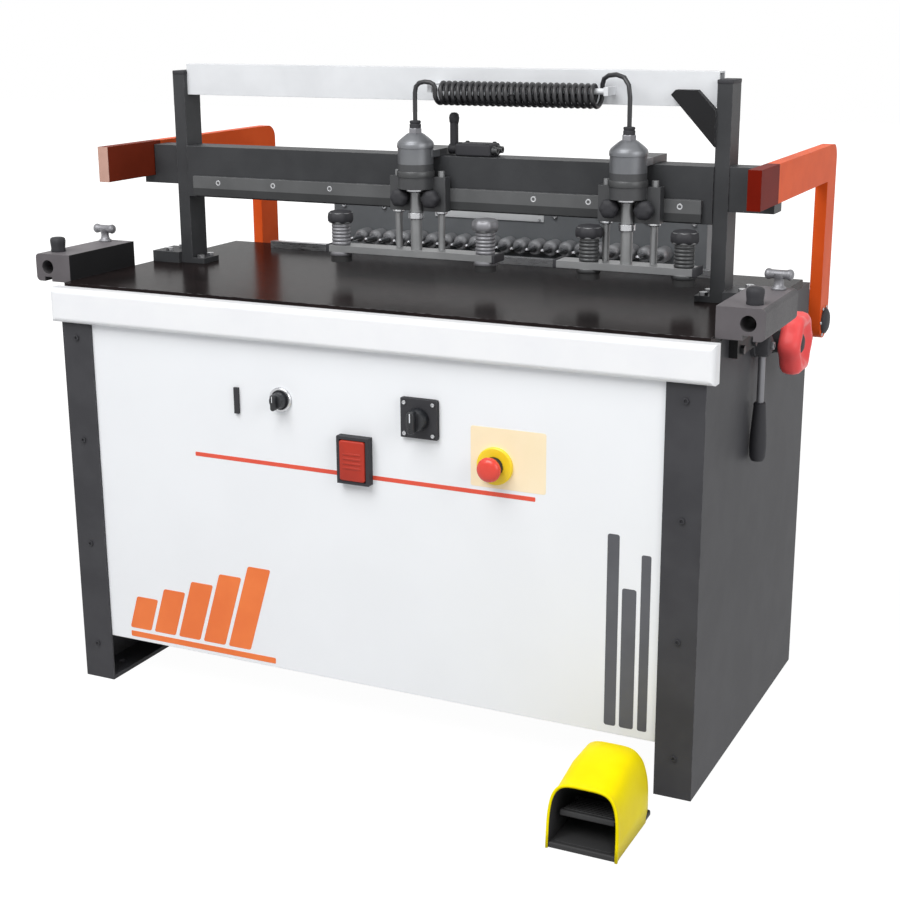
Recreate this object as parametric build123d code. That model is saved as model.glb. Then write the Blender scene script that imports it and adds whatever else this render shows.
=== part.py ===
"""Multi-spindle boring machine: cabinet, table, clamp bridge, tilting boring head and foot pedal.

Millimetres. +X to the operator's right, +Y to the rear, +Z up.
The origin is on the floor, at the centre of the four floor anchor holes.
"""
import os
from math import cos, pi, radians, sin, sqrt

from build123d import *

# Cabinet
base_width = 1200.0
base_depth = 634.0
table_height = 756.0
sheet = 4.0
panel_sheet = 3.0
flange_width = 63.0
foot_plate = 8.0
anchor_hole_radius = 7.0
anchor_inset_x = 34.0
anchor_inset_y = 67.0
panel_floor_gap = 90.0
panel_overlap = 28.0
panel_lip = 22.0
rear_panel_drop = 66.0
inlet_x = 380.0
inlet_z = 220.0
inlet_spacing = 90.0
inlet_radius = 15.0
inlet_length = 22.0
air_bore_radius = 5.8
air_bore_depth = 16.0
cable_bore_radius = 7.0

# Table
table_thickness = 14.0
table_rear_inset = 55.0
table_edge_chamfer = 2.0
rail_height = 62.0
rail_drop = 6.0
rail_depth = 27.0
rail_overhang = 15.0
rail_stand_out = 13.0
rail_rounding = 9.0
fence_inset = 57.0
fence_depth = 15.0
fence_height = 14.0
fence_length = 960.0

# Clamp bridge
post_inset = 74.5
post_width = 25.0
post_depth = 50.0
post_wall = 5.0
post_height = 357.0
post_foot_margin = 26.0
post_bolt_spread = 32.0
post_foot_thickness = 10.0
post_heel_inset = 2.0
post_heel_depth = 70.0
post_heel_height = 21.0
post_heel_bolt_spread = 44.0
beam_rise = 129.0
beam_height = 94.0
beam_depth = 56.0
beam_wall = 5.0
guide_rail_height = 36.0
guide_rail_depth = 8.0
guide_rail_inset = 3.0
guide_rail_end_gap = 17.0
top_rail_rise = 317.0
top_rail_height = 56.0
top_rail_depth = 30.0
top_rail_wall = 3.0
gusset_width = 76.0
gusset_rise = 254.0
gusset_height = 90.0
gusset_snip = 32.0
gusset_tip = 8.0
gusset_thickness = 15.0

# Work clamps
clamp_left_x = -11.0
clamp_right_x = 379.0
clamp_axis_y = -62.0
clamp_barrel_radius = 31.0
clamp_barrel_overlap = 20.0
clamp_barrel_length = 60.0
clamp_bore_radius = 25.0
clamp_end_wall = 8.0
clamp_cap_radius = 27.0
clamp_cap_top_radius = 13.0
clamp_cap_height = 13.0
clamp_port_radius = 8.0
clamp_port_height = 22.0
clamp_block_width = 108.0
clamp_block_depth = 20.0
clamp_block_height = 60.0
clamp_hook_width = 64.0
clamp_hook_thickness = 12.0
clamp_hook_drop = 50.0
clamp_rod_radius = 10.0
clamp_piston_height = 14.0
piston_clearance = 0.1
clamp_guide_radius = 6.0
clamp_guide_spread = 42.0
clamp_guide_reach = 10.0
clamp_stroke = 30.0
lock_nut_radius = 13.0
lock_nut_length = 16.0
lock_nut_spread = 30.0
lock_nut_rise = 23.0
cross_bar_left_ends = (-172.0, 155.0)
cross_bar_right_ends = (-122.0, 122.0)
cross_bar_depth = 32.0
cross_bar_rear_margin = 8.0
cross_bar_height = 12.0
pad_radius = 19.0
pad_height = 18.0
pad_left_offsets = (-152.0, 133.0)
pad_right_offsets = (-66.0, 100.0)
pad_table_gap = 2.0
pad_post_radius = 15.0
pad_post_height = 40.0
pad_knob_radius = 21.0
pad_knob_height = 18.0

# Coiled air hose
hose_radius = 4.0
coil_mean_radius = 17.0
coil_pitch = 11.0
coil_turns = 26.5
coil_start_offset = 38.0
coil_axis_rise = 15.0
hose_rod_radius = 5.0
hose_ear_length = 8.0
hose_ear_gap = 7.0
hose_ear_half_height = 7.0
hose_gap_turns = 4

# Hand valve on the beam
valve_x = 45.0
valve_length = 68.0
valve_depth = 44.0
valve_height = 22.0
valve_stub_radius = 5.0
valve_stub_length = 18.0
valve_lever_gap = 4.0
valve_lever_width = 14.0
valve_lever_depth = 16.0
valve_lever_reach = 54.0

# Tilting yoke
trunnion_offset = 68.0
trunnion_drop = 96.0
trunnion_radius = 30.0
trunnion_wall = 6.0
bracket_inset = 15.0
bracket_width = 40.0
bracket_margin = 48.0
bracket_foot = 14.0
bracket_foot_reach = 30.0
arm_offset = 3.0
arm_thickness = 22.0
arm_width = 64.0
arm_rise = 229.0
arm_front_left = -165.0
arm_front_right = -110.0
arm_corner_radius = 26.0
arm_stop_height = 14.0
arm_stop_depth = 46.0
arm_cheek_gap = 2.0
saddle_width = 600.0
saddle_offset = 8.0
saddle_length = 325.0
saddle_thickness = 12.0
saddle_clamp_x = 235.0
saddle_clamp_width = 60.0
saddle_clamp_margin = 10.0
guide_rod_x = 230.0
guide_rod_radius = 10.0
guide_rod_lift = 20.0
guide_block_width = 44.0
guide_block_length = 15.0
guide_block_height = 36.0

# Boring head
spindle_count = 21
spindle_pitch = 32.0
spindle_lift = 20.0
head_end_margin = 80.0
head_offset = 13.0
head_depth = 130.0
head_bottom_drop = 34.0
head_height = 106.0
head_front_wall = 22.0
head_side_wall = 14.0
head_floor = 15.0
cover_thickness = 14.0
head_corner_radius = 6.0
feed_stroke = 60.0
lug_length = 58.0
lug_end_gap = 10.0
feed_x = 130.0
feed_lift = 10.0
feed_barrel_radius = 24.0
feed_barrel_bore = 18.0
feed_barrel_length = 140.0
feed_gland_length = 12.0
feed_cover_gap = 26.0
feed_rod_radius = 8.0
feed_piston_length = 12.0
feed_end_gap = 10.0
feed_foot_width = 40.0
motor_radius = 65.0
motor_length = 150.0
motor_cowl_length = 60.0
motor_cowl_wall = 3.0
motor_bore_depth = 90.0
motor_bore_clearance = 2.0
terminal_width = 90.0
terminal_length = 80.0
terminal_rise = 34.0

# Spindles
shaft_radius = 8.0
shaft_end_gap = 4.0
gear_module = 2.0
gear_width = 14.0
gear_addendum = 1.6
gear_dedendum = 2.5
tooth_root_share = 0.66
tooth_tip_share = 0.19
gear_y_offset = 60.0
sleeve_radius = 11.0
sleeve_end_gap = 1.0
chuck_radius = 14.0
chuck_length = 28.0
chuck_nose_length = 8.0
chuck_nose_radius = 10.0
chuck_face_gap = 2.0
bit_radius = 4.0
bit_shank_depth = 20.0
bit_reach = 37.0
bit_point = 3.0
bit_tip_radius = 0.5

# Side fittings
end_bracket_inset = 32.0
end_bracket_length = 193.0
end_bracket_width = 76.0
end_bracket_drop = 4.0
end_bracket_rise = 46.0
end_bracket_rounding = 8.0
end_bracket_groove_width = 16.0
end_bracket_groove_depth = 8.0
end_flange_thickness = 14.0
end_flange_length = 113.0
end_flange_height = 46.0
end_flange_bolt_inset = 22.0
end_flange_bolt_drop = 36.0
socket_radius = 12.5
socket_x_offset = 50.0
socket_lift = 22.0
t_handle_inset = 172.0
t_screw_radius = 5.0
t_screw_tip_gap = 2.0
t_stem_radius = 7.0
t_stem_height = 24.0
t_bar_radius = 7.0
t_bar_length = 42.0
end_knob_inset = 33.0
end_knob_radius = 12.0
end_knob_height = 24.0
handwheel_gap = 22.0
handwheel_drop = 69.0
handwheel_radius = 55.0
handwheel_width = 38.0
handwheel_stand_off = 26.0
handwheel_hub_radius = 20.0
handwheel_shaft_radius = 8.0
handwheel_shaft_depth = 40.0
handwheel_lobes = 6
handwheel_lobe_radius = 16.0
handwheel_lobe_offset = 8.8
lock_lever_gap = 11.0
lock_lever_drop = 56.0
lock_hub_radius = 21.0
lock_hub_width = 30.0
lock_pin_radius = 8.0
lock_pin_depth = 30.0
lock_rod_radius = 6.0
lock_rod_length = 98.0
lock_grip_radius = 14.0
lock_grip_length = 98.0
shaft_collar_radius = 14.0
shaft_collar_length = 10.0

# Controls on the front panel: x of each centre, and its drop below the table
switch_x, switch_drop = 120.0, 172.0
selector_x, selector_drop = -146.0, 168.0
stop_x, stop_drop = -1.0, 256.0
emergency_x, emergency_drop = 254.0, 237.0
marker_x, marker_drop = -234.0, 178.0
control_sleeve_radius = 11.0
control_sleeve_length = 26.0
control_stem_radius = 6.0
control_stem_length = 24.0
switch_plate_size = 66.0
switch_plate_thickness = 8.0
switch_knob_radius = 19.0
switch_knob_length = 18.0
switch_grip_width = 12.0
switch_grip_length = 14.0
selector_plate_radius = 19.0
selector_plate_thickness = 4.0
selector_knob_radius = 14.0
selector_knob_length = 16.0
selector_grip_width = 8.0
selector_grip_length = 10.0
stop_frame_width = 60.0
stop_frame_height = 82.0
stop_frame_depth = 16.0
stop_frame_wall = 5.0
stop_frame_floor = 4.0
stop_button_gap = 1.0
stop_travel = 4.0
stop_button_rise = 3.0
emergency_plate_radius = 30.0
emergency_plate_thickness = 5.0
emergency_collar_radius = 15.0
emergency_collar_length = 10.0
emergency_button_radius = 20.0
emergency_button_length = 15.0
emergency_travel = 6.0
marker_width = 9.0
marker_height = 46.0
marker_depth = 5.0

# Foot pedal
pedal_x = 501.0
pedal_stand_out = 233.0
pedal_length = 165.0
pedal_width = 112.0
pedal_height = 125.0
pedal_front_height = 106.0
pedal_roof_run = 80.0
pedal_wall = 6.0
pedal_floor = 10.0
pedal_crown_radius = 32.0
pedal_back_slope = 25.0
pedal_back_height = 95.0
pedal_mouth_rake = 8.0
treadle_pivot_inset = 48.0
treadle_pivot_z = 30.0
treadle_pivot_radius = 5.0
treadle_thickness = 10.0
treadle_side_gap = 5.0
treadle_front_inset = 22.0
treadle_rest_angle = 13.0
treadle_rear_reach = 6.0
gland_radius = 10.0
gland_length = 18.0
gland_bore = 4.0

# Fasteners and fits
bolt_radius = 4.0
bolt_head_radius = 7.5
bolt_head_height = 5.5
bolt_hole_clearance = 0.3
running_clearance = 0.05
sliding_gap = 0.3
bolt_end_gap = 1.0

# Derived places
half_width = base_width / 2
front_y = -base_depth / 2
rear_y = base_depth / 2
table_bottom = table_height - table_thickness
table_rear_y = rear_y - table_rear_inset
fence_y = table_rear_y - fence_inset
rear_panel_top = table_height - rear_panel_drop
rail_front_y = front_y - rail_stand_out
rail_rear_y = rail_front_y + rail_depth
rail_top = table_height - rail_drop
rail_bottom = rail_top - rail_height
flange_inner_x = half_width - flange_width
panel_half_width = flange_inner_x + panel_overlap
panel_front_y = front_y + sheet
post_x = half_width - post_inset
post_top = table_height + post_height
post_inner_x = post_x - post_width / 2
post_outer_x = post_x + post_width / 2
beam_bottom = table_height + beam_rise
beam_top = beam_bottom + beam_height
beam_front_y = -beam_depth / 2
guide_rail_front_y = beam_front_y - guide_rail_depth
top_rail_bottom = table_height + top_rail_rise
top_rail_top = top_rail_bottom + top_rail_height
gusset_bottom = table_height + gusset_rise
gusset_top = gusset_bottom + gusset_height
coil_axis_z = top_rail_bottom + coil_axis_rise
clamp_block_top = beam_bottom + clamp_block_height
clamp_barrel_bottom = clamp_block_top - clamp_barrel_overlap
clamp_barrel_top = clamp_block_top + clamp_barrel_length
trunnion_y = rear_y + trunnion_offset
trunnion_z = table_height - trunnion_drop
arm_mid_x = half_width + arm_offset
arm_top = table_height + arm_rise
saddle_front_y = rear_y + saddle_offset
saddle_rear_y = saddle_front_y + saddle_length
head_front_y = rear_y + head_offset
end_bracket_front = front_y + end_bracket_inset
end_bracket_rear = end_bracket_front + end_bracket_length
end_bracket_bottom = table_height - end_bracket_drop
end_bracket_top = table_height + end_bracket_rise
socket_z = table_height + socket_lift
t_handle_y = end_bracket_front + t_handle_inset
end_knob_y = end_bracket_front + end_knob_inset
lock_lever_y = end_bracket_rear + lock_lever_gap + lock_hub_radius
lock_lever_z = table_height - lock_lever_drop
handwheel_y = lock_lever_y + lock_hub_radius + handwheel_gap + handwheel_radius
handwheel_z = table_height - handwheel_drop
switch_z = table_height - switch_drop
selector_z = table_height - selector_drop
stop_z = table_height - stop_drop
emergency_z = table_height - emergency_drop
marker_z = table_height - marker_drop
pedal_front_y = front_y - pedal_stand_out
spindle_z = table_height + spindle_lift
head_half_length = (spindle_count - 1) * spindle_pitch / 2 + head_end_margin
head_bottom = spindle_z - head_bottom_drop
head_top = head_bottom + head_height
head_rear_y = head_front_y + head_depth
cover_rear_y = head_rear_y + cover_thickness
saddle_bottom = trunnion_z + trunnion_radius
saddle_top = saddle_bottom + saddle_thickness
guide_rod_z = saddle_top + guide_rod_lift
feed_z = spindle_z - feed_lift
feed_barrel_front_y = cover_rear_y + feed_cover_gap
pad_bottom = table_height + pad_table_gap + clamp_stroke
cross_bar_bottom = pad_bottom + pad_height
cross_bar_top = cross_bar_bottom + cross_bar_height
clamp_port_top = clamp_barrel_top + clamp_cap_height + clamp_port_height
clamp_block_rear_y = guide_rail_front_y - sliding_gap
clamp_block_front_y = clamp_block_rear_y - clamp_block_depth
clamp_guide_y = clamp_block_rear_y - clamp_block_depth / 2
arm_inner_x = arm_mid_x - arm_thickness / 2
arm_outer_x = arm_mid_x + arm_thickness / 2


def block(x0, x1, y0, y1, z0, z1):
    """A box from its two corners."""
    centre = Pos((x0 + x1) / 2, (y0 + y1) / 2, (z0 + z1) / 2)
    return centre * Box(x1 - x0, y1 - y0, z1 - z0)


def rod_x(radius, x0, x1, y, z):
    """A cylinder along X from x0 to x1."""
    return Pos((x0 + x1) / 2, y, z) * Rot(0, 90, 0) * Cylinder(radius, x1 - x0)


def rod_y(radius, x, y0, y1, z):
    """A cylinder along Y from y0 to y1."""
    return Pos(x, (y0 + y1) / 2, z) * Rot(90, 0, 0) * Cylinder(radius, y1 - y0)


def rod_z(radius, x, y, z0, z1):
    """A cylinder along Z from z0 to z1."""
    return Pos(x, y, (z0 + z1) / 2) * Cylinder(radius, z1 - z0)


def cone_y(radius0, radius1, x, y0, y1, z):
    """A cone along Y with radius0 at y0 and radius1 at y1."""
    return Pos(x, (y0 + y1) / 2, z) * Rot(-90, 0, 0) * Cone(radius0, radius1, y1 - y0)


def side_profile(points, x0, x1):
    """A closed outline of (y, z) points, extruded from x0 to x1."""
    outline = make_face(Polyline([(x0, y, z) for y, z in points], close=True))
    return extrude(outline, amount=x1 - x0, dir=(1, 0, 0))


def mirrored(shape):
    """The shape reflected to the other side of the machine."""
    return mirror(shape, about=Plane.YZ)


def write(node, *shapes):
    """Writes one node, with every solid of the given shapes, to its own file."""
    solids = [solid for shape in shapes for solid in shape.solids()]
    shape = solids[0] if len(solids) == 1 else Compound(children=solids)
    export_step(shape, f"parts/{node}.step")


def hex_bolt(place, grip):
    """A hexagon bolt: its head stands on the place's plane and its shank goes down through grip."""
    head = extrude(RegularPolygon(bolt_head_radius, 6), amount=bolt_head_height)
    shank = Pos(0, 0, -grip / 2) * Cylinder(bolt_radius, grip)
    return place * (head + shank)


def bolt_hole(place, depth):
    """The clearance hole of a bolt at the same place."""
    return place * Pos(0, 0, -depth / 2) * Cylinder(bolt_radius + bolt_hole_clearance, depth)


# Places of the bolts that hold the posts to the table: on the foot inside, on the heel outside
post_foot_inner_x = post_inner_x - post_foot_margin
post_foot_top = table_height + post_foot_thickness
post_heel_x = half_width - post_heel_inset
post_heel_top = table_height + post_heel_height
foot_bolt_places = [
    Pos(side * (post_inner_x - post_foot_margin / 2), dy * post_bolt_spread / 2, post_foot_top)
    for side in (-1, 1)
    for dy in (-1, 1)
]
heel_bolt_places = [
    Pos(side * (post_outer_x + post_heel_x) / 2, dy * post_heel_bolt_spread / 2, post_heel_top)
    for side in (-1, 1)
    for dy in (-1, 1)
]
foot_bolt_depth = post_foot_thickness + table_thickness
heel_bolt_depth = post_heel_height + table_thickness

# Places of the bolts that hold the trunnion brackets to the rear flanges
bracket_outer_x = half_width - bracket_inset
bracket_inner_x = bracket_outer_x - bracket_width
bracket_mid_x = (bracket_inner_x + bracket_outer_x) / 2
bracket_rear_y = trunnion_y + bracket_margin
bracket_foot_top = trunnion_z + bracket_margin + bracket_foot_reach
bracket_foot_bottom = trunnion_z - bracket_margin - bracket_foot_reach
bracket_bolt_heights = (
    bracket_foot_top - bracket_foot_reach / 2,
    bracket_foot_bottom + bracket_foot_reach / 2,
)
bracket_bolt_places = [
    Pos(side * bracket_mid_x, rear_y + bracket_foot, z) * Rot(-90, 0, 0)
    for side in (-1, 1)
    for z in bracket_bolt_heights
]
bracket_bolt_grip = bracket_foot + sheet + panel_sheet

# Places of the bolts that hold the flanges of the end brackets to the side panels
end_flange_front = end_bracket_rear - end_flange_length
end_flange_bolt_places = [
    Pos(side * (half_width + end_flange_thickness), y, end_bracket_bottom - end_flange_bolt_drop)
    * Rot(0, side * 90, 0)
    for side in (-1, 1)
    for y in (end_flange_front + end_flange_bolt_inset, end_bracket_rear - end_flange_bolt_inset)
]
end_flange_bolt_grip = end_flange_thickness + sheet


def side_panel():
    """The right side panel: a folded sheet with front, rear, top and floor flanges."""
    web = block(half_width - sheet, half_width, front_y, rear_y, 0, table_bottom)
    front = block(flange_inner_x, half_width, front_y, front_y + sheet, 0, rail_bottom)
    rear = block(flange_inner_x, half_width, rear_y - sheet, rear_y, 0, table_bottom)
    foot = block(flange_inner_x, half_width, front_y, rear_y, 0, foot_plate)
    top = block(flange_inner_x, half_width, rail_rear_y, rear_y, table_bottom - sheet, table_bottom)
    panel = web + front + rear + foot + top
    panel -= block(flange_inner_x, half_width, front_y, rail_rear_y, rail_bottom, table_bottom)
    for y in (-1, 1):
        anchor_y = y * (base_depth / 2 - anchor_inset_y)
        panel -= rod_z(anchor_hole_radius, half_width - anchor_inset_x, anchor_y, 0, foot_plate)
    for place in bracket_bolt_places:
        panel -= bolt_hole(place, bracket_bolt_grip)
    for place in end_flange_bolt_places:
        panel -= bolt_hole(place, end_flange_bolt_grip)
    return panel


def bored_right_panel():
    """The right side panel with the bores of the handwheel shaft and the lock lever pin."""
    panel = side_panel()
    for radius, y, z in (
        (handwheel_shaft_radius, handwheel_y, handwheel_z),
        (lock_pin_radius, lock_lever_y, lock_lever_z),
    ):
        panel -= rod_x(radius + running_clearance, half_width - sheet, half_width, y, z)
    return panel


control_places = [
    (switch_x, switch_z),
    (selector_x, selector_z),
    (stop_x, stop_z),
    (emergency_x, emergency_z),
]


def front_panel():
    """The white front panel behind the flanges, with a bottom lip and holes for the controls."""
    face_rear_y = panel_front_y + panel_sheet
    panel = block(
        -panel_half_width, panel_half_width,
        panel_front_y, face_rear_y,
        panel_floor_gap, rail_bottom,
    )
    panel += block(
        -panel_half_width, panel_half_width,
        panel_front_y, panel_front_y + panel_lip,
        panel_floor_gap, panel_floor_gap + panel_sheet,
    )
    for x, z in control_places:
        panel -= rod_y(control_sleeve_radius + sliding_gap, x, panel_front_y, face_rear_y, z)
    return panel


def rear_panel():
    """The rear panel in front of the rear flanges, with the air inlet and the mains cable gland."""
    outer_y = rear_y - sheet
    inner_y = outer_y - panel_sheet
    panel = block(-panel_half_width, panel_half_width, inner_y, outer_y, panel_floor_gap, rear_panel_top)
    for side in (-1, 1):
        for z in bracket_bolt_heights:
            panel -= rod_y(bolt_radius + bolt_hole_clearance, side * bracket_mid_x, inner_y, outer_y, z)
    inlet_rear_y = outer_y + inlet_length
    cable_x = inlet_x - inlet_spacing
    for x in (inlet_x, cable_x):
        panel += rod_y(inlet_radius, x, outer_y, inlet_rear_y, inlet_z)
    panel -= rod_y(air_bore_radius, inlet_x, inlet_rear_y - air_bore_depth, inlet_rear_y, inlet_z)
    return panel - rod_y(cable_bore_radius, cable_x, inner_y, inlet_rear_y, inlet_z)


def table_top():
    """The dark table plate with its post bolt holes."""
    plate = block(-half_width, half_width, rail_rear_y, table_rear_y, table_bottom, table_height)
    rear_edges = plate.edges().filter_by(Axis.X).group_by(Axis.Y)[-1]
    plate = chamfer(rear_edges, table_edge_chamfer)
    for place in foot_bolt_places:
        plate -= bolt_hole(place, foot_bolt_depth)
    for place in heel_bolt_places:
        plate -= bolt_hole(place, heel_bolt_depth)
    return plate


def front_rail():
    """The white rail along the table's front edge, rounded at its front and its ends."""
    half_length = half_width + rail_overhang
    rail = block(-half_length, half_length, rail_front_y, rail_rear_y, rail_bottom, rail_top)
    front_edges = rail.edges().filter_by(Axis.X).group_by(Axis.Y)[0]
    end_edges = rail.edges().filter_by(Axis.Z).group_by(Axis.Y)[0]
    return fillet(front_edges + end_edges, rail_rounding)


def rear_fence():
    """The low fence bar on the table, below the line of the bits."""
    half_length = fence_length / 2
    fence_top = table_height + fence_height
    return block(-half_length, half_length, fence_y, fence_y + fence_depth, table_height, fence_top)


def bridge_post():
    """The right post: a capped tube on a foot and a heel, with a shelf and a cheek for the tilt arm."""
    tube = block(post_inner_x, post_outer_x, -post_depth / 2, post_depth / 2, table_height, post_top)
    hollow = block(
        post_inner_x + post_wall, post_outer_x - post_wall,
        post_wall - post_depth / 2, post_depth / 2 - post_wall,
        post_foot_top, post_top - post_wall,
    )
    foot = block(
        post_foot_inner_x, post_inner_x,
        -post_depth / 2, post_depth / 2, table_height, post_foot_top,
    )
    heel = block(
        post_outer_x, post_heel_x,
        -post_heel_depth / 2, post_heel_depth / 2, table_height, post_heel_top,
    )
    shelf_top = arm_top - arm_width - sliding_gap
    shelf = block(
        post_outer_x, arm_outer_x,
        -arm_stop_depth / 2, arm_stop_depth / 2,
        shelf_top - arm_stop_height, shelf_top,
    )
    cheek = block(
        post_outer_x, arm_inner_x - arm_cheek_gap,
        -arm_stop_depth / 2, arm_stop_depth / 2,
        shelf_top, beam_top,
    )
    post = tube + foot + heel + shelf + cheek - hollow
    for place in foot_bolt_places:
        post -= bolt_hole(place, post_foot_thickness)
    for place in heel_bolt_places:
        post -= bolt_hole(place, post_heel_height)
    return post


def presser_beam():
    """The beam between the posts, a closed tube, and the pale guide rail on its front face."""
    tube = block(-post_inner_x, post_inner_x, beam_front_y, -beam_front_y, beam_bottom, beam_top)
    tube -= block(
        -post_inner_x, post_inner_x,
        beam_front_y + beam_wall, -beam_front_y - beam_wall,
        beam_bottom + beam_wall, beam_top - beam_wall,
    )
    half_length = post_inner_x - guide_rail_end_gap
    rail_low = beam_bottom + guide_rail_inset
    rail_high = rail_low + guide_rail_height
    rail = block(-half_length, half_length, guide_rail_front_y, beam_front_y, rail_low, rail_high)
    return tube, rail


coil_axis_y = clamp_axis_y + coil_mean_radius
coil_start_x = clamp_left_x + coil_start_offset
coil_end_x = coil_start_x + coil_turns * coil_pitch
hose_rod_z = coil_axis_z + coil_mean_radius - hose_radius - hose_rod_radius - sliding_gap


def hose_rail():
    """The pale top rail, with two ears and a rod that carry the coiled hose."""
    depth = top_rail_depth / 2
    rail = block(-post_inner_x, post_inner_x, -depth, depth, top_rail_bottom, top_rail_top)
    rail -= block(
        -post_inner_x, post_inner_x,
        top_rail_wall - depth, depth - top_rail_wall,
        top_rail_bottom + top_rail_wall, top_rail_top - top_rail_wall,
    )
    left_ear_x = coil_start_x - hose_radius - hose_ear_gap - hose_ear_length
    right_ear_x = coil_end_x + hose_radius + hose_ear_gap
    rod = rod_x(hose_rod_radius, left_ear_x, right_ear_x + hose_ear_length, coil_axis_y, hose_rod_z)
    for x in (left_ear_x, right_ear_x):
        rail += block(
            x, x + hose_ear_length,
            coil_axis_y - hose_ear_half_height, -depth,
            hose_rod_z - hose_ear_half_height, hose_rod_z + hose_ear_half_height,
        )
    return rail + rod


def rail_gusset():
    """The black gusset between the top rail and the right post, its two upper corners cut off."""
    inner_x = post_inner_x - gusset_width
    rail_front = -top_rail_depth / 2
    outline = Polyline(
        [
            (inner_x, rail_front, gusset_top - gusset_tip),
            (inner_x + gusset_tip, rail_front, gusset_top),
            (post_inner_x - gusset_snip, rail_front, gusset_top),
            (post_inner_x, rail_front, gusset_top - gusset_snip),
            (post_inner_x, rail_front, gusset_bottom),
        ],
        close=True,
    )
    return extrude(make_face(outline), amount=gusset_thickness, dir=(0, -1, 0))


def trunnion_bracket():
    """The right trunnion bracket: a bearing block with two bolted feet."""
    bracket = block(
        bracket_inner_x, bracket_outer_x, rear_y, bracket_rear_y,
        trunnion_z - bracket_margin, trunnion_z + bracket_margin,
    )
    bracket += block(
        bracket_inner_x, bracket_outer_x,
        rear_y, rear_y + bracket_foot,
        bracket_foot_bottom, bracket_foot_top,
    )
    bore = trunnion_radius + running_clearance
    bracket -= rod_x(bore, bracket_inner_x, bracket_outer_x, trunnion_y, trunnion_z)
    for place in bracket_bolt_places:
        bracket -= bolt_hole(place, bracket_foot)
    return bracket


socket_x = half_width + socket_x_offset
t_screw_bottom = socket_z + socket_radius + t_screw_tip_gap


def end_bracket():
    """The right end bracket: a bar with a socket along Y, a bore for its T screw and a bolted flange."""
    body = block(
        half_width, half_width + end_bracket_width,
        end_bracket_front, end_bracket_rear, end_bracket_bottom, end_bracket_top,
    )
    outer_edges = body.edges().filter_by(Axis.Y).group_by(Axis.X)[-1]
    body = fillet(outer_edges, end_bracket_rounding)
    body += block(
        half_width, half_width + end_flange_thickness, end_flange_front, end_bracket_rear,
        end_bracket_bottom - end_flange_height, end_bracket_bottom,
    )
    body -= block(
        socket_x - end_bracket_groove_width / 2, socket_x + end_bracket_groove_width / 2,
        end_bracket_front, end_bracket_rear,
        end_bracket_bottom, end_bracket_bottom + end_bracket_groove_depth,
    )
    body -= rod_y(socket_radius, socket_x, end_bracket_front, end_bracket_rear, socket_z)
    for place in end_flange_bolt_places:
        body -= bolt_hole(place, end_flange_thickness)
    screw_bore = t_screw_radius + running_clearance
    return body - rod_z(screw_bore, socket_x, t_handle_y, socket_z, end_bracket_top)


def end_knob():
    """The round knob on the right end bracket."""
    knob_top = end_bracket_top + end_knob_height
    knob = rod_z(end_knob_radius, socket_x, end_knob_y, end_bracket_top, knob_top)
    return fillet(knob.edges().group_by(Axis.Z)[-1], end_knob_radius / 2)


def t_handle():
    """The right T handle: a clamping screw with a cross bar."""
    stem_top = end_bracket_top + t_stem_height
    screw = rod_z(t_screw_radius, socket_x, t_handle_y, t_screw_bottom, end_bracket_top + sliding_gap)
    stem = rod_z(t_stem_radius, socket_x, t_handle_y, end_bracket_top + sliding_gap, stem_top)
    bar_end = t_bar_length / 2
    bar = rod_x(t_bar_radius, socket_x - bar_end, socket_x + bar_end, t_handle_y, stem_top)
    return screw + stem + bar


def handwheel():
    """The lobed handwheel with its hub, its shaft through the side panel and an inner collar."""
    rim_x = half_width + handwheel_stand_off
    wheel = rod_x(handwheel_radius, rim_x, rim_x + handwheel_width, handwheel_y, handwheel_z)
    scallop_circle = handwheel_radius + handwheel_lobe_offset
    for lobe in range(handwheel_lobes):
        angle = 2 * pi * (lobe + 0.5) / handwheel_lobes
        y = handwheel_y + scallop_circle * cos(angle)
        z = handwheel_z + scallop_circle * sin(angle)
        wheel -= rod_x(handwheel_lobe_radius, rim_x, rim_x + handwheel_width, y, z)
    hub = rod_x(handwheel_hub_radius, half_width + sliding_gap, rim_x, handwheel_y, handwheel_z)
    inner_x = half_width - sheet - handwheel_shaft_depth
    shaft = rod_x(handwheel_shaft_radius, inner_x, rim_x, handwheel_y, handwheel_z)
    collar_x = half_width - sheet - sliding_gap
    collar_inner_x = collar_x - shaft_collar_length
    collar = rod_x(shaft_collar_radius, collar_inner_x, collar_x, handwheel_y, handwheel_z)
    return wheel + hub + shaft + collar


lock_rod_x = half_width + sliding_gap + lock_hub_width / 2


def lock_lever():
    """The hanging lock lever: a hub on a pin through the side panel, a steel rod and a black grip."""
    hub_x = half_width + sliding_gap
    hub = rod_x(lock_hub_radius, hub_x, hub_x + lock_hub_width, lock_lever_y, lock_lever_z)
    inner_x = half_width - sheet - lock_pin_depth
    pin = rod_x(lock_pin_radius, inner_x, hub_x, lock_lever_y, lock_lever_z)
    collar_x = half_width - sheet - sliding_gap
    collar_inner_x = collar_x - shaft_collar_length
    collar = rod_x(shaft_collar_radius, collar_inner_x, collar_x, lock_lever_y, lock_lever_z)
    rod_bottom = lock_lever_z - lock_rod_length
    rod = rod_z(lock_rod_radius, lock_rod_x, lock_lever_y, rod_bottom, lock_lever_z)
    grip = rod_z(lock_grip_radius, lock_rod_x, lock_lever_y, rod_bottom - lock_grip_length, rod_bottom)
    grip = fillet(grip.edges(), lock_grip_radius / 2)
    return hub + pin + collar + rod + grip


def control_sleeve(x, z):
    """The sleeve of a control: it passes through the panel and holds the stem."""
    rear = panel_front_y + control_sleeve_length
    return rod_y(control_sleeve_radius, x, panel_front_y, rear, z)


def stem_bore(x, z, front):
    """The bore in which a control's stem runs."""
    rear = panel_front_y + control_sleeve_length
    return rod_y(control_stem_radius + running_clearance, x, front, rear, z)


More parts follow.
